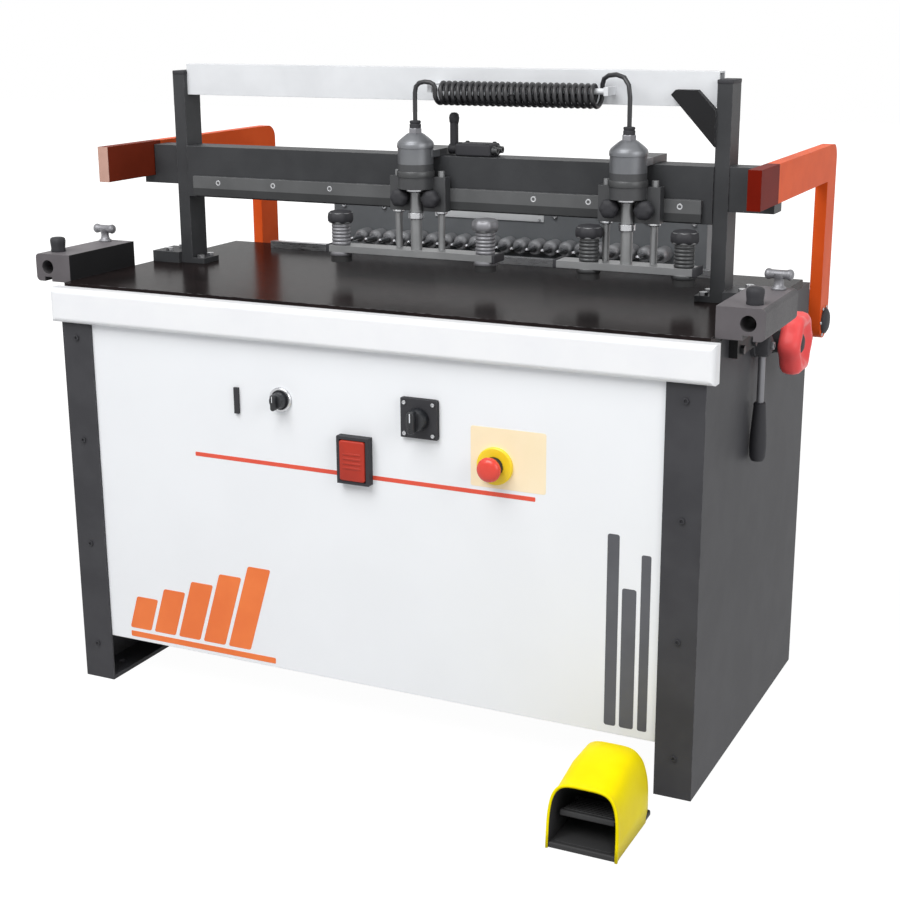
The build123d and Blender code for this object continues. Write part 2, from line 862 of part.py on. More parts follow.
switch_plate_front = panel_front_y - switch_plate_thickness
selector_plate_front = panel_front_y - selector_plate_thickness
stop_frame_front = panel_front_y - stop_frame_depth
stop_floor_front = panel_front_y - stop_frame_floor
emergency_plate_front = panel_front_y - emergency_plate_thickness
emergency_collar_front = emergency_plate_front - emergency_collar_length


def control_plates():
    """The fixed parts of the controls on the front panel."""
    half = switch_plate_size / 2
    switch = block(
        switch_x - half, switch_x + half,
        switch_plate_front, panel_front_y,
        switch_z - half, switch_z + half,
    )
    switch += control_sleeve(switch_x, switch_z)
    switch -= stem_bore(switch_x, switch_z, switch_plate_front)
    selector = rod_y(selector_plate_radius, selector_x, selector_plate_front, panel_front_y, selector_z)
    selector += control_sleeve(selector_x, selector_z)
    selector -= stem_bore(selector_x, selector_z, selector_plate_front)
    half_w = stop_frame_width / 2
    half_h = stop_frame_height / 2
    stop = block(
        stop_x - half_w, stop_x + half_w,
        stop_frame_front, panel_front_y,
        stop_z - half_h, stop_z + half_h,
    )
    stop -= block(
        stop_x - half_w + stop_frame_wall, stop_x + half_w - stop_frame_wall,
        stop_frame_front, stop_floor_front,
        stop_z - half_h + stop_frame_wall, stop_z + half_h - stop_frame_wall,
    )
    stop = stop + control_sleeve(stop_x, stop_z) - stem_bore(stop_x, stop_z, stop_floor_front)
    emergency = rod_y(
        emergency_plate_radius, emergency_x, emergency_plate_front, panel_front_y, emergency_z,
    )
    emergency += rod_y(
        emergency_collar_radius, emergency_x, emergency_collar_front, emergency_plate_front, emergency_z
    )
    emergency += control_sleeve(emergency_x, emergency_z)
    emergency -= stem_bore(emergency_x, emergency_z, emergency_collar_front)
    marker = block(
        marker_x - marker_width / 2, marker_x + marker_width / 2,
        panel_front_y - marker_depth, panel_front_y,
        marker_z - marker_height / 2, marker_z + marker_height / 2,
    )
    return switch, selector, stop, emergency, marker


def turning_knob(x, z, plate_front, radius, length, grip_width, grip_length):
    """A round knob with a grip bar, on a stem that turns in its sleeve."""
    rear = plate_front - sliding_gap
    front = rear - length
    knob = rod_y(radius, x, front, rear, z)
    half = grip_width / 2
    knob += block(x - half, x + half, front - grip_length, front, z - radius, z + radius)
    return knob + rod_y(control_stem_radius, x, rear, plate_front + control_stem_length, z)


def stop_button():
    """The red stop button: a plate that travels inside its frame, on a stem."""
    half_w = stop_frame_width / 2 - stop_frame_wall - stop_button_gap
    half_h = stop_frame_height / 2 - stop_frame_wall - stop_button_gap
    front = stop_frame_front - stop_button_rise
    rear = stop_floor_front - stop_travel - sliding_gap
    plate = block(stop_x - half_w, stop_x + half_w, front, rear, stop_z - half_h, stop_z + half_h)
    return plate + rod_y(control_stem_radius, stop_x, rear, rear + control_stem_length, stop_z)


def emergency_button():
    """The mushroom button that travels into its collar's front."""
    rear = emergency_collar_front - emergency_travel - sliding_gap
    front = rear - emergency_button_length
    head = rod_y(emergency_button_radius, emergency_x, front, rear, emergency_z)
    head = fillet(head.edges().group_by(Axis.Y)[0], emergency_button_length / 2)
    return head + rod_y(control_stem_radius, emergency_x, rear, rear + control_stem_length, emergency_z)


valve_pivot_z = beam_top + valve_height / 2


def hand_valve_body():
    """The valve block on the beam, with the bore of its lever's stub."""
    body = block(
        valve_x, valve_x + valve_length,
        -valve_depth / 2, valve_depth / 2,
        beam_top, beam_top + valve_height,
    )
    bore = valve_stub_radius + running_clearance
    return body - rod_x(bore, valve_x, valve_x + valve_stub_length, 0, valve_pivot_z)


def hand_valve_lever():
    """The upright lever on its stub shaft."""
    inner_x = valve_x - valve_lever_gap
    outer_x = inner_x - valve_lever_width
    half = valve_lever_depth / 2
    lever_top = valve_pivot_z + valve_lever_reach
    arm = block(outer_x, inner_x, -half, half, valve_pivot_z, lever_top)
    arm += rod_x(half, outer_x, inner_x, 0, valve_pivot_z)
    arm += rod_x(half, outer_x, inner_x, 0, lever_top)
    stub_end = valve_x + valve_stub_length - sliding_gap
    return arm + rod_x(valve_stub_radius, inner_x, stub_end, 0, valve_pivot_z)


def clamp_body(x):
    """A clamp carriage: a block in front of the beam, a barrel with its port and a hook over the beam."""
    half = clamp_block_width / 2
    body = block(
        x - half, x + half, clamp_block_front_y, clamp_block_rear_y, beam_bottom, clamp_block_top
    )
    body += rod_z(clamp_barrel_radius, x, clamp_axis_y, clamp_barrel_bottom, clamp_barrel_top)
    cap_top = clamp_barrel_top + clamp_cap_height
    cap_place = Pos(x, clamp_axis_y, (clamp_barrel_top + cap_top) / 2)
    body += cap_place * Cone(clamp_cap_radius, clamp_cap_top_radius, clamp_cap_height)
    body += rod_z(clamp_port_radius, x, clamp_axis_y, cap_top, clamp_port_top)
    hook_half = clamp_hook_width / 2
    hook_low = beam_top + sliding_gap
    hook_high = hook_low + clamp_hook_thickness
    hook_rear = -beam_front_y + sliding_gap + clamp_hook_thickness
    body += block(x - hook_half, x + hook_half, clamp_axis_y, hook_rear, hook_low, hook_high)
    body += block(
        x - hook_half, x + hook_half,
        hook_rear - clamp_hook_thickness, hook_rear,
        hook_low - clamp_hook_drop, hook_high,
    )
    for side in (-1, 1):
        nut_x = x + side * lock_nut_spread
        nut_z = beam_bottom + lock_nut_rise
        nut_front = clamp_block_front_y - lock_nut_length
        body += rod_y(lock_nut_radius, nut_x, nut_front, clamp_block_front_y, nut_z)
    body -= rod_z(clamp_bore_radius, x, clamp_axis_y, clamp_block_top, clamp_barrel_top - clamp_end_wall)
    body -= rod_z(clamp_rod_radius + running_clearance, x, clamp_axis_y, beam_bottom, clamp_block_top)
    for side in (-1, 1):
        guide_x = x + side * clamp_guide_spread
        guide_bore = clamp_guide_radius + running_clearance
        body -= rod_z(guide_bore, guide_x, clamp_guide_y, beam_bottom, clamp_block_top)
    return body


def clamp_ram(x, bar_ends, pad_offsets):
    """A clamp ram: piston, rod, two guide rods, cross bar with its knobs, and the two rubber pads."""
    piston_top = clamp_barrel_top - clamp_end_wall - sliding_gap
    piston_low = piston_top - clamp_piston_height
    ram = rod_z(clamp_bore_radius - piston_clearance, x, clamp_axis_y, piston_low, piston_top)
    ram += rod_z(clamp_rod_radius, x, clamp_axis_y, cross_bar_bottom, piston_top)
    ram += block(
        x + bar_ends[0], x + bar_ends[1],
        clamp_axis_y - cross_bar_depth / 2, clamp_guide_y + cross_bar_rear_margin,
        cross_bar_bottom, cross_bar_top,
    )
    for side in (-1, 1):
        guide_top = clamp_block_top + clamp_guide_reach
        guide_x = x + side * clamp_guide_spread
        ram += rod_z(clamp_guide_radius, guide_x, clamp_guide_y, cross_bar_bottom, guide_top)
    pads = []
    for offset in pad_offsets:
        pad_x = x + offset
        post_top_z = cross_bar_top + pad_post_height
        ram += rod_z(pad_post_radius, pad_x, clamp_axis_y, cross_bar_top, post_top_z)
        ram += rod_z(pad_knob_radius, pad_x, clamp_axis_y, post_top_z, post_top_z + pad_knob_height)
        pads.append(rod_z(pad_radius, pad_x, clamp_axis_y, pad_bottom, cross_bar_bottom))
    return ram, pads


def biarc(start, start_dir, end, end_dir):
    """Two tangent arcs from start to end: the point where they meet, and the direction there."""
    chord = end - start
    turn = start_dir + end_dir
    a = 2 * (1 - start_dir.dot(end_dir))
    b = 2 * chord.dot(turn)
    reach = (-b + sqrt(b * b + 4 * a * chord.dot(chord))) / (2 * a)
    first = start + start_dir * reach
    second = end - end_dir * reach
    return (first + second) * 0.5, (second - first).normalized()


def coil_point(turns):
    """A point of the hose's helix, that many turns from its start at the coil's front."""
    angle = pi + 2 * pi * turns
    return Vector(
        coil_start_x + coil_pitch * turns,
        coil_axis_y + coil_mean_radius * cos(angle),
        coil_axis_z + coil_mean_radius * sin(angle),
    )


def coil_direction(turns):
    """The direction of the hose's helix, level with the coil's axis at its two ends."""
    if turns in (0, coil_turns):
        return Vector(0, 0, -1 if turns == 0 else 1)
    angle = pi + 2 * pi * turns
    around = 2 * pi * coil_mean_radius
    return Vector(coil_pitch, -around * sin(angle), around * cos(angle)).normalized()


def half_circle_over(start, end):
    """A half circle from one upright run of hose to another, over the top."""
    top = (start + end) * 0.5 + Vector(0, 0, (end - start).length / 2)
    return Edge.make_three_point_arc(start, top, end)


def air_hose():
    """The coiled hose in one tube: up from the left clamp, through the coil, down to the right clamp."""
    left_port = Vector(clamp_left_x, clamp_axis_y, clamp_port_top)
    right_port = Vector(clamp_right_x, clamp_axis_y, clamp_port_top)
    left_top = Vector(clamp_left_x, clamp_axis_y, coil_axis_z)
    right_top = Vector(clamp_right_x, clamp_axis_y, coil_axis_z)
    edges = [Edge.make_line(left_port, left_top), half_circle_over(left_top, coil_point(0))]
    for half_turn in range(int(2 * coil_turns)):
        turns, next_turns = half_turn / 2, (half_turn + 1) / 2
        start, end = coil_point(turns), coil_point(next_turns)
        start_dir, end_dir = coil_direction(turns), coil_direction(next_turns)
        middle, middle_dir = biarc(start, start_dir, end, end_dir)
        edges.append(Edge.make_tangent_arc(start, start_dir, middle))
        edges.append(Edge.make_tangent_arc(middle, middle_dir, end))
    edges.append(half_circle_over(coil_point(coil_turns), right_top))
    edges.append(Edge.make_line(right_top, right_port))
    path = Wire(edges)
    section = Plane(origin=left_port, z_dir=(0, 0, 1)) * Circle(hose_radius)
    tube = sweep(section, path=path)
    report_hose(path, tube)
    return tube


def report_hose(path, tube):
    """Prints the hose's length, its volume against section times length, and its least gap to itself."""
    step = hose_radius / 2
    count = int(path.length / step)
    points = [path.position_at(index / count) for index in range(count + 1)]
    skip = int(pi * coil_mean_radius / step)
    least = min(
        (points[one] - points[other]).length
        for one in range(len(points))
        for other in range(one + skip, min(one + hose_gap_turns * skip, len(points)))
    )
    expected = pi * hose_radius**2 * path.length
    print(f"hose length {path.length:.0f} mm, volume ratio {tube.volume / expected:.4f}")
    print(f"hose least gap to itself {least - 2 * hose_radius:.2f} mm")


def tilt_arm(side, front):
    """An orange arm: a bar from its front end to the rear, bent down to the trunnion."""
    half = arm_width / 2
    x0, x1 = (arm_inner_x, arm_outer_x) if side > 0 else (-arm_outer_x, -arm_inner_x)
    level = block(x0, x1, front, trunnion_y + half, arm_top - arm_width, arm_top)
    upright = block(x0, x1, trunnion_y - half, trunnion_y + half, trunnion_z, arm_top)
    arm = level + upright
    corner = arm.edges().filter_by(Axis.X).group_by(Axis.Y)[-1].group_by(Axis.Z)[-1]
    arm = fillet(corner, arm_corner_radius)
    return arm + rod_x(half, x0, x1, trunnion_y, trunnion_z)


def trunnion_tube():
    """The tube that joins the two arms and turns in the brackets."""
    tube = rod_x(trunnion_radius, -arm_inner_x, arm_inner_x, trunnion_y, trunnion_z)
    bore = trunnion_radius - trunnion_wall
    return tube - rod_x(bore, -arm_inner_x, arm_inner_x, trunnion_y, trunnion_z)


guide_front_block_y = saddle_front_y + guide_block_length
lug_rear_y = head_rear_y
lug_front_y = lug_rear_y - lug_length
guide_rear_block_y = lug_rear_y + lug_end_gap
guide_rod_end_y = guide_rear_block_y + guide_block_length


def head_saddle():
    """The saddle: a plate clamped on the trunnion tube, with blocks for guide rods and feed cylinders."""
    half = saddle_width / 2
    saddle = block(-half, half, saddle_front_y, saddle_rear_y, saddle_bottom, saddle_top)
    margin = trunnion_radius + saddle_clamp_margin
    for side in (-1, 1):
        clamp_x = side * saddle_clamp_x
        half_clamp = saddle_clamp_width / 2
        saddle += block(
            clamp_x - half_clamp, clamp_x + half_clamp,
            trunnion_y - margin, trunnion_y + margin, trunnion_z - margin, saddle_bottom,
        )
        rod_place = side * guide_rod_x
        half_block = guide_block_width / 2
        for y in (saddle_front_y, guide_rear_block_y):
            saddle += block(
                rod_place - half_block, rod_place + half_block,
                y, y + guide_block_length, saddle_top, saddle_top + guide_block_height,
            )
        feed_place = side * feed_x
        saddle += block(
            feed_place - feed_foot_width / 2, feed_place + feed_foot_width / 2,
            feed_barrel_front_y, saddle_rear_y, saddle_top, feed_z,
        )
    saddle -= rod_x(trunnion_radius + running_clearance, -half, half, trunnion_y, trunnion_z)
    for side in (-1, 1):
        bore = guide_rod_radius + running_clearance
        saddle -= rod_y(bore, side * guide_rod_x, saddle_front_y, guide_rod_end_y, guide_rod_z)
        bore = feed_barrel_radius + running_clearance
        saddle -= rod_y(bore, side * feed_x, feed_barrel_front_y, saddle_rear_y, feed_z)
    return saddle


def guide_rods():
    """The two rods on which the head slides."""
    return [
        rod_y(guide_rod_radius, side * guide_rod_x, saddle_front_y, guide_rod_end_y, guide_rod_z)
        for side in (-1, 1)
    ]


def feed_cylinder(side):
    """A feed cylinder with its gland at the front and a closed rear end."""
    x = side * feed_x
    rear = feed_barrel_front_y + feed_barrel_length
    gland_rear = feed_barrel_front_y + feed_gland_length
    barrel = rod_y(feed_barrel_radius, x, feed_barrel_front_y, rear, feed_z)
    barrel -= rod_y(feed_barrel_bore, x, gland_rear, rear - feed_gland_length, feed_z)
    return barrel - rod_y(feed_rod_radius + running_clearance, x, feed_barrel_front_y, gland_rear, feed_z)


def feed_rod(side):
    """A feed rod from the head cover to its piston, which rests at the rear of the cylinder."""
    x = side * feed_x
    piston_rear = feed_barrel_front_y + feed_barrel_length - feed_gland_length - feed_end_gap
    rod = rod_y(feed_rod_radius, x, cover_rear_y, piston_rear, feed_z)
    piston_front = piston_rear - feed_piston_length
    return rod + rod_y(feed_barrel_bore - piston_clearance, x, piston_front, piston_rear, feed_z)


spindle_places = [(index - (spindle_count - 1) / 2) * spindle_pitch for index in range(spindle_count)]


def head_housing():
    """The head housing, open at the rear, with a row of spindle bores and two lugs on the guide rods."""
    housing = block(-head_half_length, head_half_length, head_front_y, head_rear_y, head_bottom, head_top)
    long_edges = housing.edges().filter_by(Axis.X).group_by(Axis.Y)[0]
    housing = fillet(long_edges, head_corner_radius)
    inner = head_half_length - head_side_wall
    housing -= block(
        -inner, inner,
        head_front_y + head_front_wall, head_rear_y,
        head_bottom + head_floor, head_top - head_side_wall,
    )
    for side in (-1, 1):
        x = side * guide_rod_x
        half = guide_block_width / 2
        lug_bottom = saddle_top + sliding_gap
        housing += block(x - half, x + half, lug_front_y, lug_rear_y, lug_bottom, head_bottom)
        housing -= rod_y(guide_rod_radius + running_clearance, x, lug_front_y, lug_rear_y, guide_rod_z)
    for x in spindle_places:
        bore = shaft_radius + running_clearance
        housing -= rod_y(bore, x, head_front_y, head_front_y + head_front_wall, spindle_z)
    return housing


def head_cover():
    """The rear cover, with a blind bore for each spindle and a through bore for the driven one."""
    cover = block(-head_half_length, head_half_length, head_rear_y, cover_rear_y, head_bottom, head_top)
    for x in spindle_places:
        depth = cover_thickness if x == 0 else cover_thickness - shaft_end_gap + sliding_gap
        cover -= rod_y(shaft_radius + running_clearance, x, head_rear_y, head_rear_y + depth, spindle_z)
    return cover


def motor():
    """The motor behind the cover, with its terminal box, and the fan cowl on its rear end."""
    rear = cover_rear_y + motor_length
    body = rod_y(motor_radius - motor_cowl_wall, 0, cover_rear_y, rear, spindle_z)
    body += block(
        -terminal_width / 2, terminal_width / 2,
        rear - terminal_length, rear, spindle_z, spindle_z + motor_radius + terminal_rise,
    )
    bore = shaft_radius + motor_bore_clearance
    body -= rod_y(bore, 0, cover_rear_y, cover_rear_y + motor_bore_depth, spindle_z)
    cowl_rear = rear + motor_cowl_length
    cowl = rod_y(motor_radius, 0, rear, cowl_rear, spindle_z)
    cowl -= rod_y(motor_radius - motor_cowl_wall, 0, rear, cowl_rear - motor_cowl_wall, spindle_z)
    return body, cowl


def gear(x, phase):
    """A spur gear about the spindle's axis, each tooth wide at the root and narrow at the tip."""
    teeth = round(spindle_pitch / gear_module)
    tooth_angle = 2 * pi / teeth
    root = spindle_pitch / 2 - gear_dedendum
    tip = spindle_pitch / 2 + gear_addendum
    shape = [
        (root, -tooth_root_share / 2),
        (tip, -tooth_tip_share / 2),
        (tip, tooth_tip_share / 2),
        (root, tooth_root_share / 2),
    ]
    y = head_front_y + gear_y_offset
    points = []
    for tooth in range(teeth):
        for radius, share in shape:
            angle = tooth_angle * (tooth + phase + share)
            points.append((x + radius * cos(angle), y, spindle_z + radius * sin(angle)))
    return extrude(make_face(Polyline(points, close=True)), amount=gear_width, dir=(0, 1, 0))


def spindle(index):
    """A spindle in one piece with its gear, sleeves and chuck, and the bit held in the chuck."""
    x = spindle_places[index]
    chuck_rear = head_front_y - chuck_face_gap
    chuck_front = chuck_rear - chuck_length
    nose_front = chuck_front - chuck_nose_length
    driven = x == 0
    motor_end = cover_rear_y + motor_bore_depth - shaft_end_gap
    rear = motor_end if driven else cover_rear_y - shaft_end_gap
    body = rod_y(shaft_radius, x, chuck_front, rear, spindle_z)
    body += rod_y(chuck_radius, x, chuck_front, chuck_rear, spindle_z)
    body += cone_y(chuck_nose_radius, chuck_radius, x, nose_front, chuck_front, spindle_z)
    sleeve_front = head_front_y + head_front_wall + sleeve_end_gap
    body += rod_y(sleeve_radius, x, sleeve_front, head_rear_y - sleeve_end_gap, spindle_z)
    half_tooth_turned = (index - spindle_count // 2) % 2
    body += gear(x, half_tooth_turned / 2)
    shank_rear = nose_front + bit_shank_depth
    body -= rod_y(bit_radius + running_clearance, x, nose_front, shank_rear, spindle_z)
    tip = nose_front - bit_reach
    bit = rod_y(bit_radius, x, tip + bit_point, shank_rear - sliding_gap, spindle_z)
    bit += cone_y(bit_tip_radius, bit_radius, x, tip, tip + bit_point, spindle_z)
    return body, bit


pedal_rear_y = pedal_front_y + pedal_length
treadle_pivot_y = pedal_rear_y - treadle_pivot_inset


def pedal_housing():
    """The yellow hood, open at the front, with pivot holes and a cable gland at the rear."""
    half = pedal_width / 2
    hood = block(pedal_x - half, pedal_x + half, pedal_front_y, pedal_rear_y, 0, pedal_height)
    crown = hood.edges().filter_by(Axis.Y).group_by(Axis.Z)[-1]
    hood = fillet(crown, pedal_crown_radius)
    inner_half = half - pedal_wall
    inner_top = pedal_height - pedal_wall
    cavity = block(
        pedal_x - inner_half, pedal_x + inner_half,
        pedal_front_y, pedal_rear_y - pedal_wall, pedal_floor, inner_top,
    )
    inner_crown = cavity.edges().filter_by(Axis.Y).group_by(Axis.Z)[-1]
    cavity = fillet(inner_crown, pedal_crown_radius - pedal_wall)
    back = [
        (pedal_rear_y - pedal_back_slope, pedal_height),
        (pedal_rear_y, pedal_height),
        (pedal_rear_y, pedal_back_height),
    ]
    inner_back = [
        (pedal_rear_y - pedal_back_slope - 2 * pedal_wall, pedal_height),
        (pedal_rear_y, pedal_height),
        (pedal_rear_y, pedal_back_height - 2 * pedal_wall),
    ]
    roof = [
        (pedal_front_y, pedal_front_height),
        (pedal_front_y, pedal_height),
        (pedal_front_y + pedal_roof_run, pedal_height),
    ]
    inner_roof = [
        (pedal_front_y, pedal_front_height - pedal_wall),
        (pedal_front_y, pedal_height),
        (pedal_front_y + pedal_roof_run, pedal_height),
        (pedal_front_y + pedal_roof_run, inner_top),
    ]
    mouth = [
        (pedal_front_y, pedal_floor),
        (pedal_front_y, pedal_height),
        (pedal_front_y + pedal_mouth_rake, pedal_height),
    ]
    for outline in (inner_back, inner_roof):
        cavity -= side_profile(outline, pedal_x - half, pedal_x + half)
    for outline in (back, roof, mouth):
        hood -= side_profile(outline, pedal_x - half, pedal_x + half)
    hood -= cavity
    bore = treadle_pivot_radius + running_clearance
    hood -= rod_x(bore, pedal_x - half, pedal_x + half, treadle_pivot_y, treadle_pivot_z)
    gland = rod_y(gland_radius, pedal_x, pedal_rear_y, pedal_rear_y + gland_length, treadle_pivot_z)
    gland -= rod_y(gland_bore, pedal_x, pedal_rear_y, pedal_rear_y + gland_length, treadle_pivot_z)
    return hood + gland


def pedal_treadle():
    """The treadle on its pivot stubs, raised at its front."""
    half = pedal_width / 2 - pedal_wall - treadle_side_gap
    reach = treadle_pivot_y - pedal_front_y - treadle_front_inset
    plate = block(-half, half, -reach, treadle_rear_reach, -treadle_thickness / 2, treadle_thickness / 2)
    stub_half = pedal_width / 2 - sliding_gap
    plate += rod_x(treadle_pivot_radius, -stub_half, stub_half, 0, 0)
    return Pos(pedal_x, treadle_pivot_y, treadle_pivot_z) * Rot(-treadle_rest_angle, 0, 0) * plate


def frame_bolts():
    """The bolts of the post feet, of the trunnion brackets and of the end brackets."""
    bolts = [hex_bolt(place, foot_bolt_depth - bolt_end_gap) for place in foot_bolt_places]
    bolts += [hex_bolt(place, heel_bolt_depth - bolt_end_gap) for place in heel_bolt_places]
    bolts += [hex_bolt(place, bracket_bolt_grip) for place in bracket_bolt_places]
    return bolts + [hex_bolt(place, end_flange_bolt_grip) for place in end_flange_bolt_places]


def main():
    """Builds every node and writes its file."""
    os.makedirs("parts", exist_ok=True)
    write("side_panels", mirrored(side_panel()), bored_right_panel())
    write("front_panel", front_panel())
    write("rear_panel", rear_panel())
    write("table_top", table_top())
    write("front_rail", front_rail())
    write("rear_fence", rear_fence())
    write("bridge_posts", mirrored(bridge_post()), bridge_post(), rail_gusset())
    write("presser_beam", *presser_beam())
    write("hose_rail", hose_rail())
    write("trunnion_brackets", mirrored(trunnion_bracket()), trunnion_bracket())
    write("end_brackets", mirrored(end_bracket()), end_bracket(), mirrored(end_knob()), end_knob())
    write("frame_bolts", *frame_bolts())
    write("control_plates", *control_plates())
    write("hand_valve_body", hand_valve_body())
    write("hand_valve_lever", hand_valve_lever())
    write("pedal_housing", pedal_housing())
    write("pedal_treadle", pedal_treadle())
    write("tilt_arms", tilt_arm(-1, arm_front_left), tilt_arm(1, arm_front_right))
    write("trunnion_tube", trunnion_tube())
    write("head_saddle", head_saddle())
    write("guide_rods", *guide_rods())
    write("feed_cylinders", feed_cylinder(-1), feed_cylinder(1))
    write("feed_rods", feed_rod(-1), feed_rod(1))
    write("head_housing", head_housing())
    write("head_cover", head_cover())
    write("motor", *motor())
    for index in range(spindle_count):
        write(f"spindle_{index + 1:02d}", *spindle(index))
    for name, x, bar_ends, pad_offsets in (
        ("left", clamp_left_x, cross_bar_left_ends, pad_left_offsets),
        ("right", clamp_right_x, cross_bar_right_ends, pad_right_offsets),
    ):
        ram, pads = clamp_ram(x, bar_ends, pad_offsets)
        write(f"clamp_{name}_body", clamp_body(x))
        write(f"clamp_{name}_ram", ram, *pads)
    write("air_hose", air_hose())
    write(
        "main_switch_knob",
        turning_knob(
            switch_x, switch_z, switch_plate_front,
            switch_knob_radius, switch_knob_length, switch_grip_width, switch_grip_length,
        ),
    )
    write(
        "selector_knob",
        turning_knob(
            selector_x, selector_z, selector_plate_front,
            selector_knob_radius, selector_knob_length, selector_grip_width, selector_grip_length,
        ),
    )
    write("stop_button", stop_button())
    write("emergency_button", emergency_button())
    write("handwheel", handwheel())
    write("lock_lever", lock_lever())
    write("t_handle_left", mirrored(t_handle()))
    write("t_handle_right", t_handle())


main()
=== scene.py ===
"""Looks of the multi-spindle boring machine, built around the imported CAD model.

Metres, apart from the profiles, which are in millimetres. +X to the operator's right, +Y to the rear,
+Z up, origin on the floor.
"""
from __future__ import annotations

import logging
import math
from abc import ABC, abstractmethod
from dataclasses import dataclass
from enum import Enum
from itertools import product
from typing import Any, ClassVar, Iterable, Sequence

import bmesh
import bpy
import numpy as np
from mathutils import Matrix, Vector

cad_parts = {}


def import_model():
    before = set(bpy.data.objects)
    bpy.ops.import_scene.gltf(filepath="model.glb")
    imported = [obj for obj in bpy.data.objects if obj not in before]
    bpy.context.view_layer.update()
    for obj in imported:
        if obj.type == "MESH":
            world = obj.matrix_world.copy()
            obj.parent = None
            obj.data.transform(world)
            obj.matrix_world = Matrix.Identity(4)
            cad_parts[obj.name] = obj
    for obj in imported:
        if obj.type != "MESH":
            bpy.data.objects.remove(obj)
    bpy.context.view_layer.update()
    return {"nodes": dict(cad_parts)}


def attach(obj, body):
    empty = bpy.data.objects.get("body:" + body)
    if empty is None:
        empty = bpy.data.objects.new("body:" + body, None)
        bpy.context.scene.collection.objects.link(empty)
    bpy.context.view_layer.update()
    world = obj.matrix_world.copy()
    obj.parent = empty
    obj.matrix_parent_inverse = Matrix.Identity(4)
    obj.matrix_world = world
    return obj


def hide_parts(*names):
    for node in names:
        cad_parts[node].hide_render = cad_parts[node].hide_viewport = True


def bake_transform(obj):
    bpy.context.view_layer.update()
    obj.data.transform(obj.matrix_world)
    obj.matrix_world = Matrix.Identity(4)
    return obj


log = logging.getLogger("boring_machine")

WELD = 2e-6
SLIVER = 1e-6
SIDES = (-1, 1)
Array = np.ndarray
Floats = tuple[float, ...]
Pair = tuple[float, float]
Pairs = tuple[Pair, ...]
Point = tuple[float, float, float]
Colour = tuple[float, float, float]
Sizes = tuple[float, float, float, float]
Bounds = tuple[float | None, float | None]
Socket = bpy.types.NodeSocket


def srgb(code: int) -> Colour:
    """Turns a display colour, written as 0xRRGGBB, into linear light."""
    values = [(code >> shift & 255) / 255 for shift in (16, 8, 0)]
    return tuple(v / 12.92 if v <= 0.04045 else ((v + 0.055) / 1.055) ** 2.4 for v in values)


def mm(values: Floats) -> Array:
    """The points (radius, height) of a profile in metres, from their numbers in millimetres."""
    return np.array(values, float).reshape(-1, 2) / 1000


def linked(name: str, data: bpy.types.ID) -> bpy.types.Object:
    """Makes an object and puts it into the scene.

    Args:
        name: the object's name.
        data: its mesh, curve, lamp or camera.

    Returns:
        The object.
    """
    made = bpy.data.objects.new(name, data)
    bpy.context.scene.collection.objects.link(made)
    return made


class Axis(Enum):
    """The direction that a shape's own Z points to, as rows of its turned frame."""

    UP = ((1, 0, 0), (0, 1, 0), (0, 0, 1))
    DOWN = ((1, 0, 0), (0, -1, 0), (0, 0, -1))
    RIGHT = ((0, 1, 0), (0, 0, 1), (1, 0, 0))
    LEFT = ((0, -1, 0), (0, 0, 1), (-1, 0, 0))
    REAR = ((0, 0, 1), (1, 0, 0), (0, 1, 0))
    FRONT = ((1, 0, 0), (0, 0, 1), (0, -1, 0))


class Shading(Enum):
    """How the faces of a piece meet: the angle, in degrees, above which an edge stays sharp."""

    EDGED = 32.0
    SOFT = 70.0


class Shape(ABC):
    """Anything that can give a surface about its own origin."""

    @abstractmethod
    def surface(self) -> Surface:
        """Makes the surface."""

    def moved(self, axis: Axis, origin: Sequence[float]) -> Surface:
        """Turns the surface's own Z to an axis and shifts its own origin to a point."""
        found = self.surface()
        return Surface(found.points @ np.array(axis.value, float) + np.array(origin), found.quads)

    def copies(self, axis: Axis, places: Iterable[Sequence[float]]) -> list[Surface]:
        """Moves a copy of the surface to each place."""
        found = self.surface()
        return [found.moved(axis, place) for place in places]


@dataclass
class Surface(Shape):
    """Points and four-cornered faces of a mesh in the making."""

    points: Array
    quads: Array

    def surface(self) -> Surface:
        """Gives itself."""
        return self

    def tilted(self, degrees: float) -> Surface:
        """Turns the surface about its own X, from Y towards Z."""
        cos, sin = math.cos(math.radians(degrees)), math.sin(math.radians(degrees))
        return Surface(self.points @ np.array(((1, 0, 0), (0, cos, sin), (0, -sin, cos))), self.quads)

    def mesh(self, name: str) -> bpy.types.Mesh:
        """Makes a mesh of the surface.

        Args:
            name: the mesh's name.

        Returns:
            The mesh.
        """
        made = bpy.data.meshes.new(name)
        made.from_pydata(self.points.tolist(), [], self.quads.tolist())
        return made

    @staticmethod
    def joined(parts: Iterable[Shape]) -> Surface:
        """Puts the surfaces of several shapes into one.

        Args:
            parts: the shapes.

        Returns:
            One surface with every face.
        """
        found = [part.surface() for part in parts]
        starts = np.cumsum([0] + [len(part.points) for part in found[:-1]])
        points = np.concatenate([part.points for part in found])
        quads = np.concatenate([part.quads + start for part, start in zip(found, starts)])
        return Surface(points, quads)


def grid(points: Array, wrap: bool = False) -> Surface:
    """Joins a grid of points with quads, each between two rows and two columns.

    Args:
        points: an array of rows, columns and three coordinates.
        wrap: whether the last column meets the first.

    Returns:
        The surface.
    """
    rows, columns = points.shape[:2]
    row = columns * np.arange(rows - 1)[:, None]
    column = np.arange(columns if wrap else columns - 1)[None, :]
    after = (column + 1) % columns
    corners = [row + column, row + after, row + columns + after, row + columns + column]
    return Surface(points.reshape(-1, 3), np.stack(corners, axis=-1).reshape(-1, 4))


